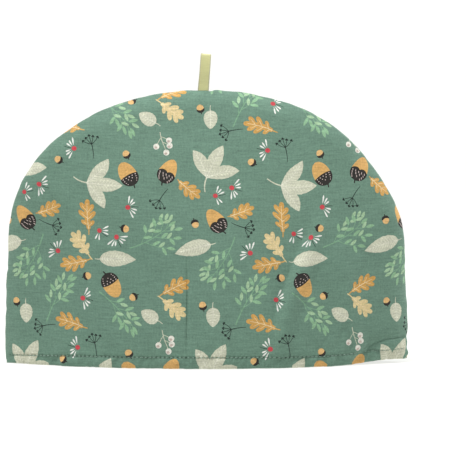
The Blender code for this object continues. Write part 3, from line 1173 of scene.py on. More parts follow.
@dataclass(frozen=True)
class SatinRibbon:
    """Polyester satin ribbon with a woven edge: smooth, with a soft gloss across fine threads, and edges
    drawn greyer and darker, partly their own tone and partly painted shade.
    """

    name: str = "woven_satin_ribbon"
    roughness: float = 0.42
    specular: float = 0.5
    sheen: float = 0.25
    colour: str = "#d1d098"
    dark: str = "#bdbc83"
    streaks: Triple = (180, 1500, 1)  # to a metre: 5.6 mm across, and 0.7 mm along
    # partly painted shade: the woven edge is drawn greyer and darker for its own tone and for the shade where
    # the edges turn away
    edge_tone_and_shade: str = "#b4b28f"
    edge_from: float = 0.0034  # where its woven edge starts, from its middle line
    edge_over: float = 0.0002
    edge_height: float = 2.5  # as a share of a thread's
    thread_pitch: float = 0.0006  # drawn coarser than the real 0.15 mm
    thread_relief: Pair = (0.3, 0.00008)

    def make(self) -> Material:
        """The material, whose threads run across the ribbon, and whose edges are darkened partly by painted
        shade.
        """
        material, tree, shader = new_material(self.name, {
            "Roughness": self.roughness,
            "Specular IOR Level": self.specular,
            "Sheen Weight": self.sheen,
        })
        cloth = add_node(tree, "UVMap", uv_map="cloth").outputs["UV"]
        x, y, _ = add_node(tree, "SeparateXYZ", links={0: cloth}).outputs
        stretched = add_node(tree, "Mapping", {"Scale": self.streaks}, {"Vector": cloth})
        streaks = noise(tree, stretched.outputs[0], 1, 2)
        between = {"From Min": self.edge_from, "From Max": self.edge_from + self.edge_over}
        edge = add_node(tree, "MapRange", between, {"Value": maths(tree, "ABSOLUTE", x)}).outputs[0]
        # the edge band mixes in the greyer edge colour, partly the woven edge's tone and partly painted shade
        colour = mixed(tree, edge, mixed(tree, streaks, self.dark, self.colour), self.edge_tone_and_shade)
        tree.links.new(colour, shader.inputs["Base Color"])
        wave = maths(tree, "SINE", maths(tree, "MULTIPLY", y, math.tau / self.thread_pitch))
        height = maths(tree, "MULTIPLY_ADD", edge, self.edge_height, wave)
        tree.links.new(relief(tree, height, *self.thread_relief), shader.inputs["Normal"])
        return material


@dataclass(frozen=True)
class SewingThread:
    """Spun polyester sewing thread: twisted, with a slight gloss."""

    name: str = "spun_polyester_thread"
    roughness: float = 0.6
    sheen: float = 0.15
    colour: str = "#93ac9c"
    # painted shade: the colour of the twist's grooves, where the relief is lowest
    dark: str = "#749080"
    twist_scale: float = 320  # bands 2 mm apart along a seam, since the real twist of 0.3 mm is too fine
    twist_uneven: float = 1.5
    twist_relief: Pair = (0.4, 0.0001)

    def make(self) -> Material:
        """The material, with the thread's twist as slanting bands of relief, darkened in their grooves by
        painted shade.
        """
        surface = {"Roughness": self.roughness, "Sheen Weight": self.sheen}
        material, tree, shader = new_material(self.name, surface)
        twist = add_node(
            tree, "TexWave", {"Scale": self.twist_scale, "Distortion": self.twist_uneven},
            {"Vector": add_node(tree, "TexCoord").outputs["Object"]}, bands_direction="DIAGONAL",
        ).outputs["Fac"]
        # low in the twist is both a groove in the relief and the darker colour, so the grooves carry painted
        # shade
        tree.links.new(mixed(tree, twist, self.dark, self.colour), shader.inputs["Base Color"])
        tree.links.new(relief(tree, twist, *self.twist_relief), shader.inputs["Normal"])
        return material


@dataclass(frozen=True)
class LitAcrylic:
    """A white acrylic sheet that is lit from below, as on a light table: matt, and clear from underneath."""

    name: str = "lit_acrylic_light_table"
    roughness: float = 0.95
    specular: float = 0.1
    glow: float = 0.74
    glow_colour: str = "#fffffb"
    dark: str = "#8f8f8f"
    light: str = "#969696"
    cloud_scale: float = 0.8

    def make(self) -> Material:
        """The material."""
        material, tree, shader = new_material(self.name, {
            "Roughness": self.roughness,
            "Specular IOR Level": self.specular,
            "Emission Color": linear(self.glow_colour),
            "Emission Strength": self.glow,
        })
        cloudy = add_node(tree, "TexNoise", {"Scale": self.cloud_scale, "Detail": 1}).outputs[0]
        tree.links.new(mixed(tree, cloudy, self.dark, self.light), shader.inputs["Base Color"])
        under = add_node(tree, "NewGeometry").outputs["Backfacing"]
        clear = add_node(tree, "BsdfTransparent").outputs[0]
        either = add_node(tree, "MixShader", links={0: under, 1: shader.outputs[0], 2: clear})
        tree.links.new(either.outputs[0], tree.nodes["Material Output"].inputs["Surface"])
        return material


# ---- Meshes ----


def place_object(name: str, data: bpy.types.ID) -> Object:
    """A new object in the scene."""
    made = bpy.data.objects.new(name, data)
    bpy.context.scene.collection.objects.link(made)
    return made


def facing(way: Vector) -> Euler:
    """The turn of a camera or lamp that looks along a direction."""
    return way.to_track_quat("-Z", "Y").to_euler()


def corner_points(mesh: bpy.types.Mesh) -> Array:
    """The point at each corner of a mesh's faces."""
    points = np.empty(len(mesh.loops), np.int32)
    mesh.loops.foreach_get("vertex_index", points)
    return points


def add_uv_map(mesh: bpy.types.Mesh, name: str, chart: Array) -> None:
    """Adds a UV map, which has one place for each corner of the mesh's faces."""
    mesh.uv_layers.new(name=name).data.foreach_set("uv", chart.astype(np.float32).ravel())


def lengths_along(line: Array) -> Array:
    """How far along a line each of its points lies."""
    return np.concatenate(([0], np.cumsum(np.hypot(*np.diff(line, axis=0).T))))


def evenly(line: Array, pitch: float) -> Array:
    """A line's points moved to even spacing, its two ends kept."""
    passed = lengths_along(line)
    places = np.linspace(0, passed[-1], max(round(passed[-1] / pitch), 1) + 1)
    return np.stack([np.interp(places, passed, line[:, axis]) for axis in (0, 1)], -1)


def to_the_left(line: Array) -> Array:
    """Directions to a line's left at each of its points."""
    along = np.gradient(line, axis=0)
    return np.stack((-along[:, 1], along[:, 0]), -1) / np.hypot(along[:, 0], along[:, 1])[:, None]


def staggered(low: Pair, high: Pair, pitch: float) -> Array:
    """Points over a rectangle, each row set off by half a step from the next."""
    rows = np.arange(low[1], high[1], pitch * math.sqrt(3) / 2)
    made = []
    for number, height in enumerate(rows):
        across = np.arange(low[0] + (number % 2) * pitch / 2, high[0], pitch)
        made.append(np.stack((across, np.full(len(across), height)), -1))
    return np.concatenate(made)


def enclosed(ring: Array) -> float:
    """Twice the area inside a ring, above 0 if it is anticlockwise."""
    x, y = ring.T
    return float(np.sum(x * np.roll(y, -1) - np.roll(x, -1) * y))


@dataclass
class Flat:
    """A flat figure cut into triangles: its points, its triangles, and the uppermost patch on each."""

    points: Array
    triangles: Array
    patch: Array
    edge: Array  # the points round the figure, anticlockwise

    @classmethod
    def cut(cls, outline: Array, patches: list[Array], inside: Array) -> Flat:
        """Cuts a figure so that the outlines of its patches are edges.

        Args:
            outline: The figure's outline, anticlockwise.
            patches: Outlines of the patches on it, the lowest first.
            inside: Further points that the triangles should use.

        Returns:
            The cut figure.
        """
        rings, start = [], 0
        for ring in (outline, *patches):
            numbers = range(start, start + len(ring))
            rings.append(list(numbers if enclosed(ring) > 0 else reversed(numbers)))
            start += len(ring)
        points = [Vector(point) for point in np.concatenate([outline, *patches, inside])]
        all_inside, merged = 0, 1e-5  # what is made, and how close points become one
        made, _, cut, _, _, within = delaunay_2d_cdt(points, [], rings, all_inside, merged, True)
        kept = [(face, max(covers)) for face, covers in zip(cut, within) if 0 in covers]
        used, triangles = np.unique([face for face, _ in kept], return_inverse=True)
        triangles = triangles.reshape(-1, 3)
        sides = np.stack((triangles, np.roll(triangles, -1, axis=1)), -1).reshape(-1, 2)
        there, back = (sides @ factors for factors in ((len(used), 1), (1, len(used))))
        rim = sides[~np.isin(there, back)]
        after = dict(rim.tolist())
        edge = [int(rim.min())]
        while after[edge[-1]] != edge[0]:
            edge.append(after[edge[-1]])
        places = np.array([tuple(point) for point in made])[used]
        return cls(places, triangles, np.array([top for _, top in kept]), np.array(edge))


@dataclass
class PanelMesh:
    """A panel's printed and inner faces as one closed mesh, joined round the turned edge of its hem.

    Its points are those of the printed face, then those of each row round the turned edge, then those of
    the inner face. Its faces follow in the same order.
    """

    shape: CosyShape
    face: Flat
    lining: Flat
    turn_steps: int
    inside_seam: float = 2e-4  # how far inside the seam a point of the outline belongs to the hem
    turn_length: float = 0.0019  # cloth round the hem's edge, for each radian of turn
    lining_aside: float = 0.3  # how far up the cloth's chart the inner face lies

    def __post_init__(self) -> None:
        """Finds the hem in the outline, and numbers the points in the rows round its turned edge."""
        self.ring = self.face.points[self.face.edge] * MM
        is_hem = self.shape.insideness(*self.ring.T) > self.inside_seam
        first = int(np.flatnonzero(is_hem & ~np.roll(is_hem, 1))[0])
        self.chain = (np.arange(int(is_hem.sum()) + 2) + first - 1) % len(self.ring)
        self.hem = self.ring[self.chain[1:-1]]
        self.turns = np.linspace(0, math.pi, self.turn_steps + 1)[1:]
        self.within = np.ones(len(self.lining.points), bool)
        self.within[self.lining.edge] = False
        top = self.face.edge[self.chain]
        self.rows = [top]
        for number in range(self.turn_steps):
            start = len(self.face.points) + number * len(self.hem)
            row = np.arange(start, start + len(self.hem))
            self.rows.append(np.concatenate((top[:1], row, top[-1:])))

    def places(self) -> Array:
        """Where the mesh's points lie."""
        shape = self.shape
        x, z = (self.face.points * MM).T
        printed = shape.outer(x, z)
        seam = self.face.edge[np.delete(np.arange(len(self.ring)), self.chain[1:-1])]
        printed[seam] = shape.inner(x[seam], z[seam])
        turned = [shape.hem_turn(self.hem[:, 0], float(turn)) for turn in self.turns[:-1]]
        inner_edge = shape.lining(*self.hem.T)
        inner_face = shape.lining(*(self.lining.points[self.within] * MM).T)
        return np.concatenate((printed, *turned, inner_edge, inner_face))

    def faces(self) -> list[list[int]]:
        """The mesh's faces, as the numbers of their points."""
        lining_start = len(self.face.points) + self.turn_steps * len(self.hem)
        number_of = np.empty(len(self.lining.points), int)
        number_of[self.within] = np.arange(int(self.within.sum())) + lining_start
        number_of[self.lining.edge] = self.face.edge
        number_of[self.lining.edge[self.chain]] = self.rows[-1]
        made = self.face.triangles.tolist()
        for above, below in zip(self.rows, self.rows[1:]):
            for quad in np.stack((below[:-1], below[1:], above[1:], above[:-1]), -1).tolist():
                made.append([corner for number, corner in enumerate(quad) if corner != quad[number - 1]])
        made += number_of[self.lining.triangles[:, ::-1]].tolist()
        return made if self.shape.side < 0 else [corners[::-1] for corners in made]

    def charts(self, place: Callable[[Array, Array], Array]) -> tuple[Array, Array]:
        """Where the mesh's points lie along the flat cloth.

        Args:
            place: Gives places along the cloth of places on the panel.

        Returns:
            The places of the printed face and the turned edge, and those of the inner face's own points.
        """
        hem = place(*self.hem.T)
        turned = [hem - (0, float(turn) * self.turn_length) for turn in self.turns]
        outside = np.concatenate((place(*(self.face.points * MM).T), *turned))
        return outside, place(*(self.lining.points * MM).T) + (0, self.lining_aside)

    def at_corners(self, points: Array, outside: Array, inside: Array) -> Array:
        """A chart's places at each corner of the faces, from those of the outer and of the inner points."""
        inner = self.lining.triangles if self.shape.side > 0 else self.lining.triangles[:, ::-1]
        return np.concatenate((outside[points[: -inner.size]], inside[inner.ravel()]))

    def colours(self, inks: list[Ink], lining_ink: str) -> list[Array]:
        """The colour of each face.

        Args:
            inks: The ink of each patch of the print.
            lining_ink: The inner face's colour.

        Returns:
            The colours. The print goes on round the turned edge, to its lowest line.
        """
        ground = np.array(linear(Ink.GROUND.value))
        made = [np.array(linear(inks[top - 1].value)) if top else ground for top in self.face.patch.tolist()]
        beside = {}
        for colour, corners in zip(made, self.face.triangles.tolist()):
            for side in zip(corners, corners[1:] + corners[:1]):
                beside[side] = colour
        top = self.rows[0].tolist()
        hem = [beside[side] for side in zip(top, top[1:])]
        for step in range(self.turn_steps):
            made += hem if step < self.turn_steps // 2 else [ground] * len(hem)
        return made + [np.array(linear(lining_ink))] * len(self.lining.triangles)


@dataclass
class PanelCloth:
    """One padded panel: its printed face, its hem's turned edge and its plain inner face as one cloth."""

    name: str
    node: str
    slot: str
    shape: CosyShape
    print_start: Pair
    cotton: Material
    repeat: PrintRepeat = field(default_factory=PrintRepeat)
    lining_ink: str = "#748d7f"
    flat_size: Pair = (0.35, 0.24)
    turn_steps: int = 8

    # How far apart the points are, in the middle, at the hem and along the seam
    grain: float = 0.0021
    hem_grain: float = 0.0011
    edge_grain: float = 0.0016
    lining_grain: float = 0.0055
    lining_hem_grain: float = 0.003
    crease_grain: float = 0.0012

    # Rows of points, by their heights above the hem's edge and above its stitching
    hem_rows: tuple[float, ...] = (0, 0.0006, 0.0015, 0.0026, 0.004, 0.0054, 0.0067)
    stitch_rows: tuple[float, ...] = (-0.0017, -0.0009, 0, 0.0009, 0.0017, 0.0027, 0.0038, 0.005, 0.0062)
    lining_rows: tuple[float, ...] = (0.0032, 0.0045, 0.008, 0.0116, 0.012, 0.0122, 0.0124, 0.0128)
    hem_zone: float = 0.0165
    above_stitches: float = 0.0072  # where the even field of points starts
    lining_from: float = 0.0155
    lining_above: float = 0.0145

    # Rows and rings in half widths of a crease, and in pit widths round a needle hole
    crease_rows: tuple[float, ...] = (-2.2, -1.2, -0.6, 0, 0.6, 1.2, 2.2)
    hole_rings: Triple = (0.6, 1.15, 1.9)

    # Rows beside the seam: their number, how many are close, and how far they go, in roll widths
    roll_steps: int = 9
    close_steps: int = 5
    roll_reach: float = 1.06

    # Stretches next to the hem's corners where points crowd
    corner_reach: float = 0.0075
    corner_points: int = 7

    # The table of lengths along the cloth
    table_reach: float = 0.168
    table_top: float = 0.226
    table_shape: tuple[int, int] = (225, 152)

    # The stretch of cloth that is printed, in millimetres
    print_low: Pair = (-182, -4)
    print_high: Pair = (182, 246)
    print_past_seam: float = -0.02  # the insideness up to which patches are kept

    # Where the two faces lie on the chart for the finish: width, left and bottom
    printed_chart: Triple = (0.965, 0.0175, 0.325)
    lining_chart: Triple = (0.44, 0.01, 0.01)

    def __post_init__(self) -> None:
        """Measures the cloth, so that the print lies along it."""
        shape = self.shape
        columns, rows = self.table_shape
        self.table_x = np.linspace(-self.table_reach, self.table_reach, columns)
        self.table_z = np.linspace(0, self.table_top, rows)
        x, z = np.meshgrid(self.table_x, self.table_z)
        face = shape.inner(x, z) + shape.outward(x, z) * (shape.padding * shape.roll(x, z))[..., None]
        across = np.linalg.norm(np.diff(face, axis=1), axis=-1)
        up = np.linalg.norm(np.diff(face, axis=0), axis=-1)
        side = np.concatenate((np.zeros((rows, 1)), np.cumsum(across, axis=1)), axis=1)
        self.table_across = side - side[:, [columns // 2]]
        self.table_up = np.concatenate((np.zeros((1, columns)), np.cumsum(up, axis=0)), axis=0)

    @staticmethod
    def cell(value: Array, ticks: Array) -> tuple[Array, Array]:
        """The number of the table's cell that holds each value, and the share of it before the value."""
        place = np.clip((value - ticks[0]) / (ticks[1] - ticks[0]), 0, len(ticks) - 1.001)
        return place.astype(int), place - place.astype(int)

    def cloth_place(self, x: Array, z: Array) -> Array:
        """Places along the cloth, in metres, of places on the panel.

        Args:
            x: Places across the panel.
            z: Places up it.

        Returns:
            Lengths across from the middle line and up from the hem, one row each.
        """
        left, right = self.cell(x, self.table_x)
        low, high = self.cell(z, self.table_z)

        def read(table: Array) -> Array:
            """The table's values at those places."""
            lower = table[low, left] * (1 - right) + table[low, left + 1] * right
            upper = table[low + 1, left] * (1 - right) + table[low + 1, left + 1] * right
            return lower * (1 - high) + upper * high

        past_x = x - np.clip(x, self.table_x[0], self.table_x[-1])
        past_z = z - np.clip(z, self.table_z[0], self.table_z[-1])
        return np.stack((read(self.table_across) + past_x, read(self.table_up) + past_z), -1)

    def panel_place(self, cloth: Array) -> Array:
        """Places on the panel, as rows of x and z, of places along the cloth, found by trial in rounds."""
        first_guess, rounds, step = 0.95, 24, 0.8
        place = cloth * first_guess
        for _ in range(rounds):
            place = place + step * (cloth - self.cloth_place(place[:, 0], place[:, 1]))
        return place

    def seam_line(self, pitch: float) -> Array:
        """The seam from the right corner over the dome to the left corner, as rows of x and z."""
        shape = self.shape
        dome_samples, side_samples = 400, 60
        turn = np.linspace(0, math.pi / 2, dome_samples)
        dome_x = shape.dome_half * np.cos(turn) ** (2 / shape.power)
        dome_z = shape.spring + shape.dome_rise * np.sin(turn) ** (2 / shape.power)
        halves = []
        for side in (1, -1):
            corner = float(shape.hem_line(np.array(side * shape.width / 2)))
            height = np.linspace(corner, shape.spring, side_samples)[:-1]
            up = np.stack((side * shape.half_width(height), height), -1)
            over = np.stack((side * dome_x, dome_z), -1)
            halves.append(evenly(np.concatenate((up, over)), pitch))
        return np.concatenate((halves[0], halves[1][::-1][1:]))

    def hem_points(self, pitch: float) -> Array:
        """The hem from the left corner to the right corner, just above its turned edge."""
        shape = self.shape
        crowding = 1 - np.cos(np.linspace(0, math.pi / 2, self.corner_points))
        crowd = shape.width / 2 - self.corner_reach * crowding[::-1]
        middle = np.linspace(-crowd[0], crowd[0], round(2 * crowd[0] / pitch) + 1)[1:-1]
        x = np.concatenate((-crowd[::-1], middle, crowd))
        rounds = 4  # the corner's own width depends on its height
        for _ in range(rounds):
            high = shape.hem_top(x)
            x[0], x[-1] = -shape.half_width(high[0]), shape.half_width(high[-1])
        return np.stack((x, high), -1)

    def edge_rows(self, seam: Array) -> Array:
        """Points in rows beside the seam, closest together where the cloth rolls over."""
        inward = to_the_left(seam)
        rows = []
        for step in range(1, self.roll_steps + 1):
            share = 1 - math.cos(math.pi / 2 * step / self.roll_steps)
            row = seam + inward * (self.shape.edge_roll * self.roll_reach * share)
            rows.append(row[step % 2 :: 2] if step > self.close_steps else row)
        return np.concatenate(rows)

    def kept(self, points: Array, away: float, above: float) -> Array:
        """Those points that are this far inside the seam and above the hem."""
        x, z = points.T
        inside = self.shape.seam_distance(x, z) > away
        return points[inside & (z > self.shape.hem_top(x) + above)]

    def face_points(self) -> Array:
        """Points over the printed face: crowded at its edges, its topstitching and its sharper creases."""
        shape = self.shape
        reach = shape.width / 2
        rows = []
        for base, heights in ((shape.hem_top, self.hem_rows), (shape.stitch_height, self.stitch_rows)):
            for height in heights:
                x = np.arange(-reach, reach, self.hem_grain) + (len(rows) % 2) * self.hem_grain / 2
                rows.append(np.stack((x, base(x) + height), -1))
        middle = staggered((-reach, self.hem_zone), (reach, shape.dome_top), self.grain)
        middle = self.kept(middle, away=0.0085, above=0)
        middle = middle[middle[:, 1] > shape.stitch_height(middle[:, 0]) + self.above_stitches]
        turn = np.arange(6) * math.pi / 3
        hole = np.stack((np.cos(turn), np.sin(turn)), -1) * shape.pit_reach
        near, between, far = self.hole_rings
        offsets = np.concatenate((np.zeros((1, 2)), hole * near, hole[:, ::-1] * between, hole * far))
        pits = (shape.needle_holes[:, None, :] + offsets).reshape(-1, 2)
        creases = [crease.points(self.crease_grain, self.crease_rows) for crease in shape.creases]
        return np.concatenate((
            self.kept(self.edge_rows(self.seam_line(self.edge_grain)), away=0.00003, above=0.0004),
            self.kept(np.concatenate(rows), away=0.0075, above=0.0003),
            middle,
            self.kept(np.concatenate(creases), away=0.002, above=0.0005),
            self.kept(pits, away=0.002, above=0.0005),
        ))

    def lining_points(self) -> Array:
        """Points over the inner face, crowded where the turned hem ends."""
        shape = self.shape
        reach = shape.width / 2
        x = np.arange(-reach, reach, self.lining_hem_grain)
        rows = [np.stack((x, shape.hem_line(x) + above), -1) for above in self.lining_rows]
        wide = staggered((-reach, self.lining_from), (reach, shape.dome_top), self.lining_grain)
        rows.append(wide[wide[:, 1] > self.lining_above + shape.hem_line(wide[:, 0])])
        return self.kept(np.concatenate(rows), away=0.0012, above=0.0002)

    def outline(self) -> Array:
        """The printed face's outline, anticlockwise from the left corner of the hem."""
        return np.concatenate((self.hem_points(self.hem_grain), self.seam_line(self.edge_grain)[1:-1]))

    def printed(self) -> tuple[list[Array], list[Ink]]:
        """The print on this panel.

        Returns:
            The patches' outlines on the panel in millimetres, and their inks.
        """
        patches = self.repeat.over(self.print_low, self.print_high, self.print_start)
        everything = self.panel_place(np.concatenate([patch.outline for patch in patches]) * MM)
        ends = np.cumsum([len(patch.outline) for patch in patches])
        shown = []
        for outline, patch in zip(np.split(everything / MM, ends[:-1]), patches):
            reached = self.shape.insideness(*(outline * MM).T) > self.print_past_seam
            if reached.any() and outline[:, 1].max() > 0:
                shown.append((outline, patch.ink))
        return [outline for outline, _ in shown], [ink for _, ink in shown]

    def mesh(self) -> bpy.types.Mesh:
        """The panel's mesh, with its charts and its print."""
        outlines, inks = self.printed()
        face = Flat.cut(self.outline() / MM, outlines, self.face_points() / MM)
        ring = face.points[face.edge] * MM
        lining = Flat.cut(ring / MM, [], self.lining_points() / MM)
        panel = PanelMesh(self.shape, face, lining, self.turn_steps)
        faces = panel.faces()
        mesh = bpy.data.meshes.new(self.name)
        mesh.from_pydata(panel.places().tolist(), [], faces)
        mesh.materials.append(self.cotton)
        points = corner_points(mesh)
        outside, inside = panel.charts(self.cloth_place)
        add_uv_map(mesh, "cloth", panel.at_corners(points, outside, inside))
        outside = self.laid_out(outside, *self.printed_chart)
        inside = self.laid_out(inside, *self.lining_chart)
        add_uv_map(mesh, "OFBake", panel.at_corners(points, outside, inside))
        sizes = np.array([len(corners) for corners in faces])
        colours = np.repeat(np.array(panel.colours(inks, self.lining_ink)), sizes, axis=0)
        printed = mesh.color_attributes.new("print", "FLOAT_COLOR", "CORNER")
        printed.data.foreach_set("color", colours.astype(np.float32).ravel())
        mesh.shade_smooth()
        return mesh

    def build(self) -> Object:
        """Makes the panel and dresses it.

        Returns:
            The piece, which stands for the panel's solid.
        """
        mesh = self.mesh()
        piece = place_object(self.name, mesh)
        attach(piece, "root")
        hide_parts(self.node)
        area = self.flat_area()
        log.info("%s: %d faces, flat area %.4f m2", self.name, len(mesh.polygons), area)
        return piece

    @staticmethod
    def laid_out(cloth: Array, width: float, left: float, bottom: float) -> Array:
        """Lays a face out in its part of a unit square, so that its finish can be drawn there."""
        low, high = cloth.min(axis=0), cloth.max(axis=0)
        return (cloth - low) / (high[0] - low[0]) * width + (left, bottom)

    def flat_area(self) -> float:
        """The area that the panel was cut to, from its seam line laid flat."""
        pitch = 0.004
        return abs(enclosed(self.cloth_place(*self.seam_line(pitch).T))) / 2


@dataclass
class HemTopstitching:
    """The row of stitches that holds a panel's turned hem. The thread dips into the cloth at each end."""

    name: str
    shape: CosyShape
    thread: Material
    length: float = 0.002
    radius: float = 0.00023  # drawn thicker than the real thread, which is 0.25 mm thick
    sides: int = 6
    dip: float = 0.0009
    plunge: float = 0.00052  # how far along each end takes to go down
    bends: Rows = ((0.6, 0.3, 0.95), (0.4, 0.7, 0.8))  # shares of the plunge, the dip and the width
    end_facing: float = 0.6  # how far an end's face looks along the stitch
    proud: float = 0.00013

    def one_stitch(self) -> tuple[Array, list[list[int]]]:
        """Models one stitch, which runs along X with its middle on z = 0.

        Returns:
            Its points and its faces.
        """
        bpy.ops.object.select_all(action="DESELECT")
        bpy.ops.mesh.primitive_cylinder_add(
            vertices=self.sides, radius=self.radius, depth=self.length, end_fill_type="NGON",
            rotation=(0, math.pi / 2, 0),
        )
        stitch = bpy.context.object
        bpy.ops.object.transform_apply(location=False, rotation=True, scale=False)
        for side in (1, -1):
            for ahead, down, share in self.bends:
                bpy.ops.object.mode_set(mode="EDIT")
                work = bmesh.from_edit_mesh(stitch.data)
                for face in work.faces:
                    face.select_set(False)
                for face in [face for face in work.faces if face.normal.x * side > self.end_facing]:
                    face.select_set(True)
                work.select_flush_mode()
                bmesh.update_edit_mesh(stitch.data)
                way = (side * ahead * self.plunge, 0, -down * self.dip)
                bpy.ops.mesh.extrude_region_move(TRANSFORM_OT_translate={"value": way})
                bpy.ops.transform.resize(value=(1, share, share))
                bpy.ops.object.mode_set(mode="OBJECT")
        points = np.array([vertex.co for vertex in stitch.data.vertices])
        faces = [list(face.vertices) for face in stitch.data.polygons]
        bpy.data.objects.remove(stitch)
        return points, faces

    def places(self) -> tuple[Array, Array]:
        """Where the stitches lie.

        Returns:
            Their middles, and for each its directions along, aside and outwards.
        """
        shape = self.shape
        holes = shape.needle_holes
        at_x, high = ((holes[1:] + holes[:-1]) / 2).T
        out = shape.outward(at_x, high)
        middle = shape.outer(at_x, high) + out * self.proud
        ahead = np.diff(shape.inner(*holes.T), axis=0)
        along = ahead / np.linalg.norm(ahead, axis=1, keepdims=True)
        aside = np.cross(out, along)
        aside /= np.linalg.norm(aside, axis=1, keepdims=True)
        return middle, np.stack((along, aside, np.cross(along, aside)), 1)

    def build(self) -> Object:
        """Makes the row of stitches."""
        points, faces = self.one_stitch()
        middles, turns = self.places()
        everywhere = (points @ turns + middles[:, None, :]).reshape(-1, 3)
        starts = range(0, len(everywhere), len(points))
        corners = [[corner + start for corner in face] for start in starts for face in faces]
        mesh = bpy.data.meshes.new(self.name)
        mesh.from_pydata(everywhere.tolist(), [], corners)
        mesh.materials.append(self.thread)
        mesh.shade_smooth()
        piece = place_object(self.name, mesh)
        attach(piece, "root")
        log.info("%s: %d stitches, %d faces", self.name, len(middles), len(corners))
        return piece


@dataclass
class RibbonLoop:
    """The hanging loop: one length of satin ribbon, folded over and caught in the top seam."""

    satin: Material
    shape: CosyShape
    name: str = "ribbon_loop"
    width: float = 0.0085
    thickness: float = 0.00045
    lean: float = math.radians(4.4)
    rise: float = 0.0297
    root: float = 0.006
    ply_gap: float = 0.0004
    front_eye: float = 0.0016
    back_eye: float = 0.0034
    eye_foot: float = 0.1
    eye_open: float = 0.62
    eye_fold: float = 0.62
    ply_samples: int = 200
    pitch: float = 0.0006
    columns: int = 14
    cup: float = 0.00022  # how far its edges curl up between its two ends
    cup_rest: float = 0.4
    twist_waves: Waves = Waves(((0.00008, 0.009, 0, 61),))
    edge_waves: Waves = Waves(((0.00007, 0.005, 0, 62),))
    cross: float = 0.00035  # how far each end stands to its own side
    edge_thins: float = 0.45
    edge_power: int = 6

    def ply_offset(self, share: Array, eye: float) -> Array:
        """How far a ply stands from the loop's middle plane, from the ribbon's end to the top fold.

        Args:
            share: Places along the ply, from 0 to 1.
            eye: How far it stands off where the eye is widest.

        Returns:
            The distances.
        """
        held = (self.ply_gap + self.thickness) / 2
        lips = self.root / (self.root + self.rise)
        opened = held + (eye - held) * smooth(share, lips + self.eye_foot, self.eye_open)
        over = np.maximum(share - self.eye_fold, 0) / (1 - self.eye_fold)
        return opened * np.sqrt(np.maximum(1 - over**2, 0))

    def line(self) -> Array:
        """The ribbon's middle from end to end, as rows of y and z above the loop's foot."""
        top = self.root + self.rise - self.thickness / 2
        share = np.sin(np.linspace(0, math.pi / 2, self.ply_samples))
        front = np.stack((-self.ply_offset(share, self.front_eye), share * top), -1)
        back = np.stack((self.ply_offset(share, self.back_eye), share * top), -1)
        return evenly(np.concatenate((front, back[::-1][1:])), self.pitch)

    def rings(self, line: Array, passed: Array) -> Array:
        """Points round the ribbon at each step along it, upright over its foot.

        Args:
            line: Its middle line.
            passed: How far along it each point of the line lies.

        Returns:
            For each step, a ring over the ribbon's outer side and back under it.
        """
        share = passed / passed[-1]
        left = to_the_left(line)
        across = np.sin(np.linspace(-math.pi / 2, math.pi / 2, self.columns + 1))
        free = np.sin(math.pi * share) ** 0.5
        cup = self.cup * free[:, None] * (across**2 - self.cup_rest)
        cup = cup + self.twist_waves.at(0, passed)[:, None] * across
        half = self.width / 2 + self.edge_waves.at(0, passed)
        drift = self.cross * (1 - 2 * share) * np.abs(1 - 2 * share)
        thin = self.thickness / 2 * (1 - self.edge_thins * np.abs(across) ** self.edge_power)
        x = half[:, None] * across + drift[:, None]
        sides = []
        for face in (1, -1):
            deep = cup + face * thin
            y, z = (line[:, [axis]] + left[:, [axis]] * deep for axis in (0, 1))
            sides.append(np.stack((x, y, z), -1))
        return np.concatenate((sides[0], sides[1][:, ::-1]), axis=1)

    @staticmethod
    def tube(steps: int, around: int) -> list[tuple[int, ...]]:
        """Faces of a closed tube, from ring to ring, with both its ends.

        Args:
            steps: How many rings it has.
            around: How many points each ring has.

        Returns:
            The faces.
        """
        faces = []
        for start in range(0, (steps - 1) * around, around):
            for column in range(around):
                a, b = start + column, start + (column + 1) % around
                faces.append((a, b, b + around, a + around))
        faces.append(tuple(range(around))[::-1])
        faces.append(tuple(range((steps - 1) * around, steps * around)))
        return faces

    def build(self) -> Object:
        """Makes the ribbon, cupped a little across, with uneven edges and a thin woven edge."""
        line = self.line()
        passed = lengths_along(line)
        grid = self.rings(line, passed)
        steps, around, _ = grid.shape
        cosine, sine = math.cos(self.lean), math.sin(self.lean)
        turn = np.array(((cosine, 0, sine), (0, 1, 0), (-sine, 0, cosine)))
        foot = (self.shape.loop_x, 0, self.shape.dome_top - self.root)
        mesh = bpy.data.meshes.new(self.name)
        mesh.from_pydata((grid @ turn.T + foot).reshape(-1, 3).tolist(), [], self.tube(steps, around))
        cloth = np.stack((grid[..., 0], np.repeat(passed[:, None], around, axis=1)), -1).reshape(-1, 2)
        add_uv_map(mesh, "cloth", cloth[corner_points(mesh)])
        mesh.materials.append(self.satin)
        outwards = bmesh.new()
        outwards.from_mesh(mesh)
        bmesh.ops.recalc_face_normals(outwards, faces=outwards.faces)
        outwards.to_mesh(mesh)
        outwards.free()
        mesh.shade_smooth()
        piece = place_object(self.name, mesh)
        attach(piece, "root")
        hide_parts("hanging_loop")
        log.info("%s: %d faces, ribbon %.1f mm long", self.name, len(mesh.polygons), passed[-1] / MM)
        return piece


# ---- Studio ----


@dataclass(frozen=True)
class SoftBox:
    """A soft box that faces the cosy: its place, its width and height, and its power in watts."""

    name: str
    place: Triple
    size: Pair
    power: float
    aim: Triple = (0, 0, 0.12)

    def build(self) -> None:
        """Hangs the soft box."""
        data = bpy.data.lights.new(self.name, "AREA")
        data.shape = "RECTANGLE"
        data.size, data.size_y = self.size
        data.energy = self.power
        light = place_object(self.name, data)
        light.location = self.place
        light.rotation_euler = facing(Vector(self.aim) - Vector(self.place))


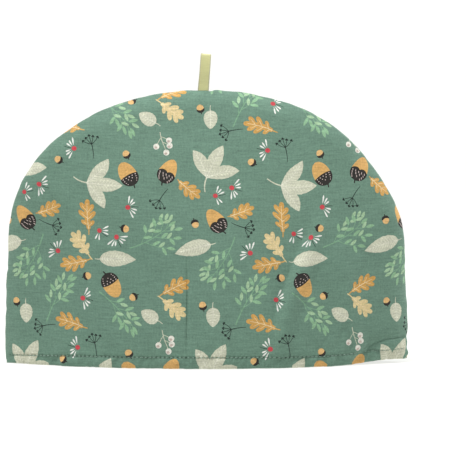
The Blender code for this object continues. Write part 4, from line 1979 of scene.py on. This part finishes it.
@dataclass
class Studio:
    """A pale floor, soft light and the camera."""

    # The camera, with places in the frame in pixels
    look_at: Triple = (0, 0, 0.1115)
    distance: float = 2.6
    elevation: float = 4
    focal_px: float = 3181
    frame_px: float = 470
    object_px: Pair = (206.5, 226.6)  # where look_at shows in the frame
    sensor: float = 36
    sees_to: float = 100

    floor_size: float = 200

    # The main light
    sun_power: float = 2.25
    sun_spread: float = 18
    sun_way: Triple = (0.28, 0.34, -0.92)
    boxes: tuple[SoftBox, ...] = (
        SoftBox("overhead", (-0.02, -0.02, 0.6), (0.5, 0.2), 1.6),
        SoftBox("left", (-1.2, 0.55, 0.5), (0.8, 0.8), 3),
        SoftBox("right", (1.2, 0.6, 0.5), (0.8, 0.8), 16),
    )

    # The surround: its strength, what is added behind and to the right, and its fade: from, to, below, above
    surround: float = 0.79
    surround_behind: float = 0.4
    surround_right: float = 0.15
    surround_fade: tuple[float, ...] = (0.03, 0.35, 1, 0.36)

    def camera(self) -> None:
        """The camera, aimed to one side of the cosy as in the photograph."""
        data = bpy.data.cameras.new("camera")
        data.sensor_width = self.sensor
        data.lens = self.focal_px * self.sensor / self.frame_px
        data.clip_end = self.sees_to
        camera = place_object("camera", data)
        lift = math.radians(self.elevation)
        back = Vector((0, -math.cos(lift), math.sin(lift)))
        up = Vector((0, math.sin(lift), math.cos(lift)))
        per_px = self.distance / self.focal_px
        middle = self.frame_px / 2
        aim = Vector(self.look_at)
        aim += Vector((1, 0, 0)) * (middle - self.object_px[0]) * per_px
        aim -= up * (middle - self.object_px[1]) * per_px
        camera.location = Vector(self.look_at) + back * self.distance
        camera.rotation_euler = facing(aim - camera.location)
        bpy.context.scene.camera = camera

    def floor(self) -> None:
        """A wide white light table, which shows from above only, so that the hem can be seen from below."""
        bpy.ops.object.select_all(action="DESELECT")
        bpy.ops.mesh.primitive_plane_add(size=self.floor_size)
        floor = bpy.context.object
        floor.name = "floor"
        floor.data.materials.append(LitAcrylic().make())

    def air(self) -> None:
        """A white surround, brightest low down behind the cosy and to the right."""
        world = bpy.data.worlds.new("studio_surround")
        bpy.context.scene.world = world
        world.use_nodes = True
        tree = world.node_tree
        way = add_node(tree, "SeparateXYZ", links={0: add_node(tree, "TexCoord").outputs["Generated"]})
        x, y, z = way.outputs
        limits = dict(zip(("From Min", "From Max", "To Min", "To Max"), self.surround_fade))
        fade = add_node(tree, "MapRange", limits, {"Value": z}, clamp=True)
        behind = maths(tree, "MULTIPLY_ADD", y, self.surround_behind, self.surround)
        right = maths(tree, "MULTIPLY_ADD", x, self.surround_right, behind)
        background = tree.nodes["Background"]
        background.inputs["Color"].default_value = linear("#ffffff")
        tree.links.new(maths(tree, "MULTIPLY", fade.outputs[0], right), background.inputs["Strength"])

    def lights(self) -> None:
        """A wide main light from the upper left, a soft box over the seam, and two dim ones behind."""
        main = bpy.data.lights.new("main", "SUN")
        main.energy = self.sun_power
        main.angle = math.radians(self.sun_spread)
        place_object("main", main).rotation_euler = facing(Vector(self.sun_way))
        for box in self.boxes:
            box.build()

    def build(self) -> None:
        """Sets up the studio."""
        bpy.context.scene.view_settings.view_transform = "Standard"
        self.camera()
        self.floor()
        self.air()
        self.lights()


# ---- The tea cosy ----

NICKS = (
    Nick(0.0052, 0.2225, 0.0009, 0.0018),
    Nick(0.011, 0.222, -0.0003, 0.006),
    Nick(0.1625, 0.079, 0.001, 0.0022),
    Nick(0.163, 0.072, 0.0004, 0.006),
    Nick(0.164, 0.021, 0.0008, 0.002),
    Nick(0.1645, 0.012, 0.0008, 0.0022),
    Nick(0.1646, 0.0075, -0.0006, 0.0028),
    Nick(0.1652, 0.0042, 0.0018, 0.0017),
    Nick(-0.1652, 0.0014, 0.0012, 0.0016),
    Nick(-0.1625, 0.07, -0.0004, 0.005),
    Nick(-0.1625, 0.077, 0.0007, 0.0022),
)


def front_shape() -> CosyShape:
    """The front panel, with the folds and creases of the photograph."""
    folds = (
        Fold(-0.005, 0.0058,
             ((0.0905, 0.111), (0.0805, 0.087), (0.072, 0.065), (0.0655, 0.045), (0.06, 0.018))),
        Fold(-0.0016, 0.014,
             ((0.108, 0.108), (0.098, 0.084), (0.09, 0.06), (0.083, 0.04), (0.075, 0.022))),
        Fold(0.0016, 0.0046,
             ((0.081, 0.108), (0.0715, 0.086), (0.0635, 0.064), (0.057, 0.044), (0.0515, 0.022))),
        Fold(-0.0025, 0.007, ((0.109, 0.088), (0.113, 0.06), (0.112, 0.03))),
        Fold(0.006, 0.0105, ((0.12, 0), (0.138, 0.002), (0.156, 0.003))),
        Fold(0.0014, 0.0034,
             ((0.1255, 0.011), (0.13, 0.015), (0.1365, 0.0188), (0.145, 0.021), (0.166, 0.0213))),
        Fold(0.0012, 0.012, ((-0.15, 0.052), (-0.128, 0.036), (-0.1, 0.028))),
        Fold(-0.001, 0.016, ((-0.086, 0.15), (-0.04, 0.1))),
    )
    creases = (
        Fold(0.0013, 0.00045, ((-0.016, 0.012), (-0.0155, 0.05), (-0.0158, 0.092))),
        Fold(0.0007, 0.0017,
             ((0.1245, 0.0105), (0.13, 0.0152), (0.1365, 0.019), (0.145, 0.021), (0.156, 0.0214))),
        Fold(0.0011, 0.0009, ((0.15, 0.0211), (0.158, 0.0215), (0.168, 0.0214))),
        Fold(0.0006, 0.0008, ((0.1262, 0.0108), (0.13, 0.0138), (0.1325, 0.0166))),
        Fold(0.0006, 0.0008, ((0.1295, 0.0106), (0.1335, 0.0137), (0.136, 0.016))),
        Fold(0.0006, 0.0011, ((0.1255, 0.0105), (0.1365, 0.0118), (0.1445, 0.0138))),
        Fold(0.0007, 0.001, ((0.1305, 0.009), (0.1298, 0.0025))),
        Fold(0.0005, 0.001, ((0.104, 0.0085), (0.1045, 0.0025))),
        Fold(0.0006, 0.0015, ((0.112, 0.012), (0.12, 0.019), (0.123, 0.026))),
        Fold(0.0007, 0.0017, ((0.102, 0.011), (0.105, 0.02), (0.113, 0.033))),
        Fold(0.0005, 0.0014, ((0.09, 0.011), (0.0925, 0.019), (0.099, 0.027))),
        Fold(0.0006, 0.0011, ((0.12, 0.0115), (0.1265, 0.015), (0.1315, 0.02))),
        Fold(-0.0005, 0.0016, ((0.118, 0.0125), (0.124, 0.0175), (0.129, 0.0235))),
        Fold(-0.0006, 0.0022, ((0.133, 0.015), (0.145, 0.017), (0.156, 0.0165))),
        Fold(-0.0011, 0.0021, ((0.075, 0.078), (0.0695, 0.06), (0.063, 0.038), (0.059, 0.018))),
        Fold(0.0004, 0.0009, ((-0.142, 0.008), (-0.141, 0.0025))),
        Fold(0.0004, 0.001, ((-0.12, 0.008), (-0.1215, 0.0025))),
        Fold(0.0004, 0.001, ((0.021, 0.0082), (0.02, 0.003))),
    )
    return CosyShape(-1, folds, creases, NICKS, lift_from=0.09, seed=100)


def back_shape() -> CosyShape:
    """The back panel, with folds of its own."""
    folds = (
        Fold(0.0018, 0.008, ((-0.15, 0.034), (-0.126, 0.028), (-0.105, 0.013))),
        Fold(-0.0014, 0.012, ((0.036, 0.086), (0.046, 0.052), (0.05, 0.018))),
        Fold(0.0012, 0.014, ((0.098, 0.14), (0.112, 0.11), (0.12, 0.08))),
    )
    creases = (
        Fold(0.00025, 0.0007, ((0.014, 0.012), (0.0136, 0.06), (0.0142, 0.12))),
        Fold(0.0008, 0.0012, ((-0.15, 0.034), (-0.126, 0.028), (-0.106, 0.014))),
        Fold(0.0005, 0.001, ((-0.08, 0.008), (-0.0792, 0.0025))),
        Fold(0.0005, 0.001, ((0.062, 0.008), (0.063, 0.0025))),
    )
    return CosyShape(1, folds, creases, NICKS, lift_from=0.128, seed=200)


def main() -> None:
    """Builds the tea cosy and its studio."""
    logging.basicConfig(level=logging.INFO, format="%(name)s: %(message)s")
    cotton = PrintedCotton().make()
    thread = SewingThread().make()
    front, back = front_shape(), back_shape()
    PanelCloth("front_cloth", "front_panel", "front_cotton", front, (-70, -30), cotton).build()
    PanelCloth("back_cloth", "back_panel", "back_cotton", back, (-20, -75), cotton).build()
    HemTopstitching("front_topstitching", front, thread).build()
    HemTopstitching("back_topstitching", back, thread).build()
    RibbonLoop(SatinRibbon().make(), front).build()
    Studio().build()
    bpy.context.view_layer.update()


if __name__ == "__main__":
    main()
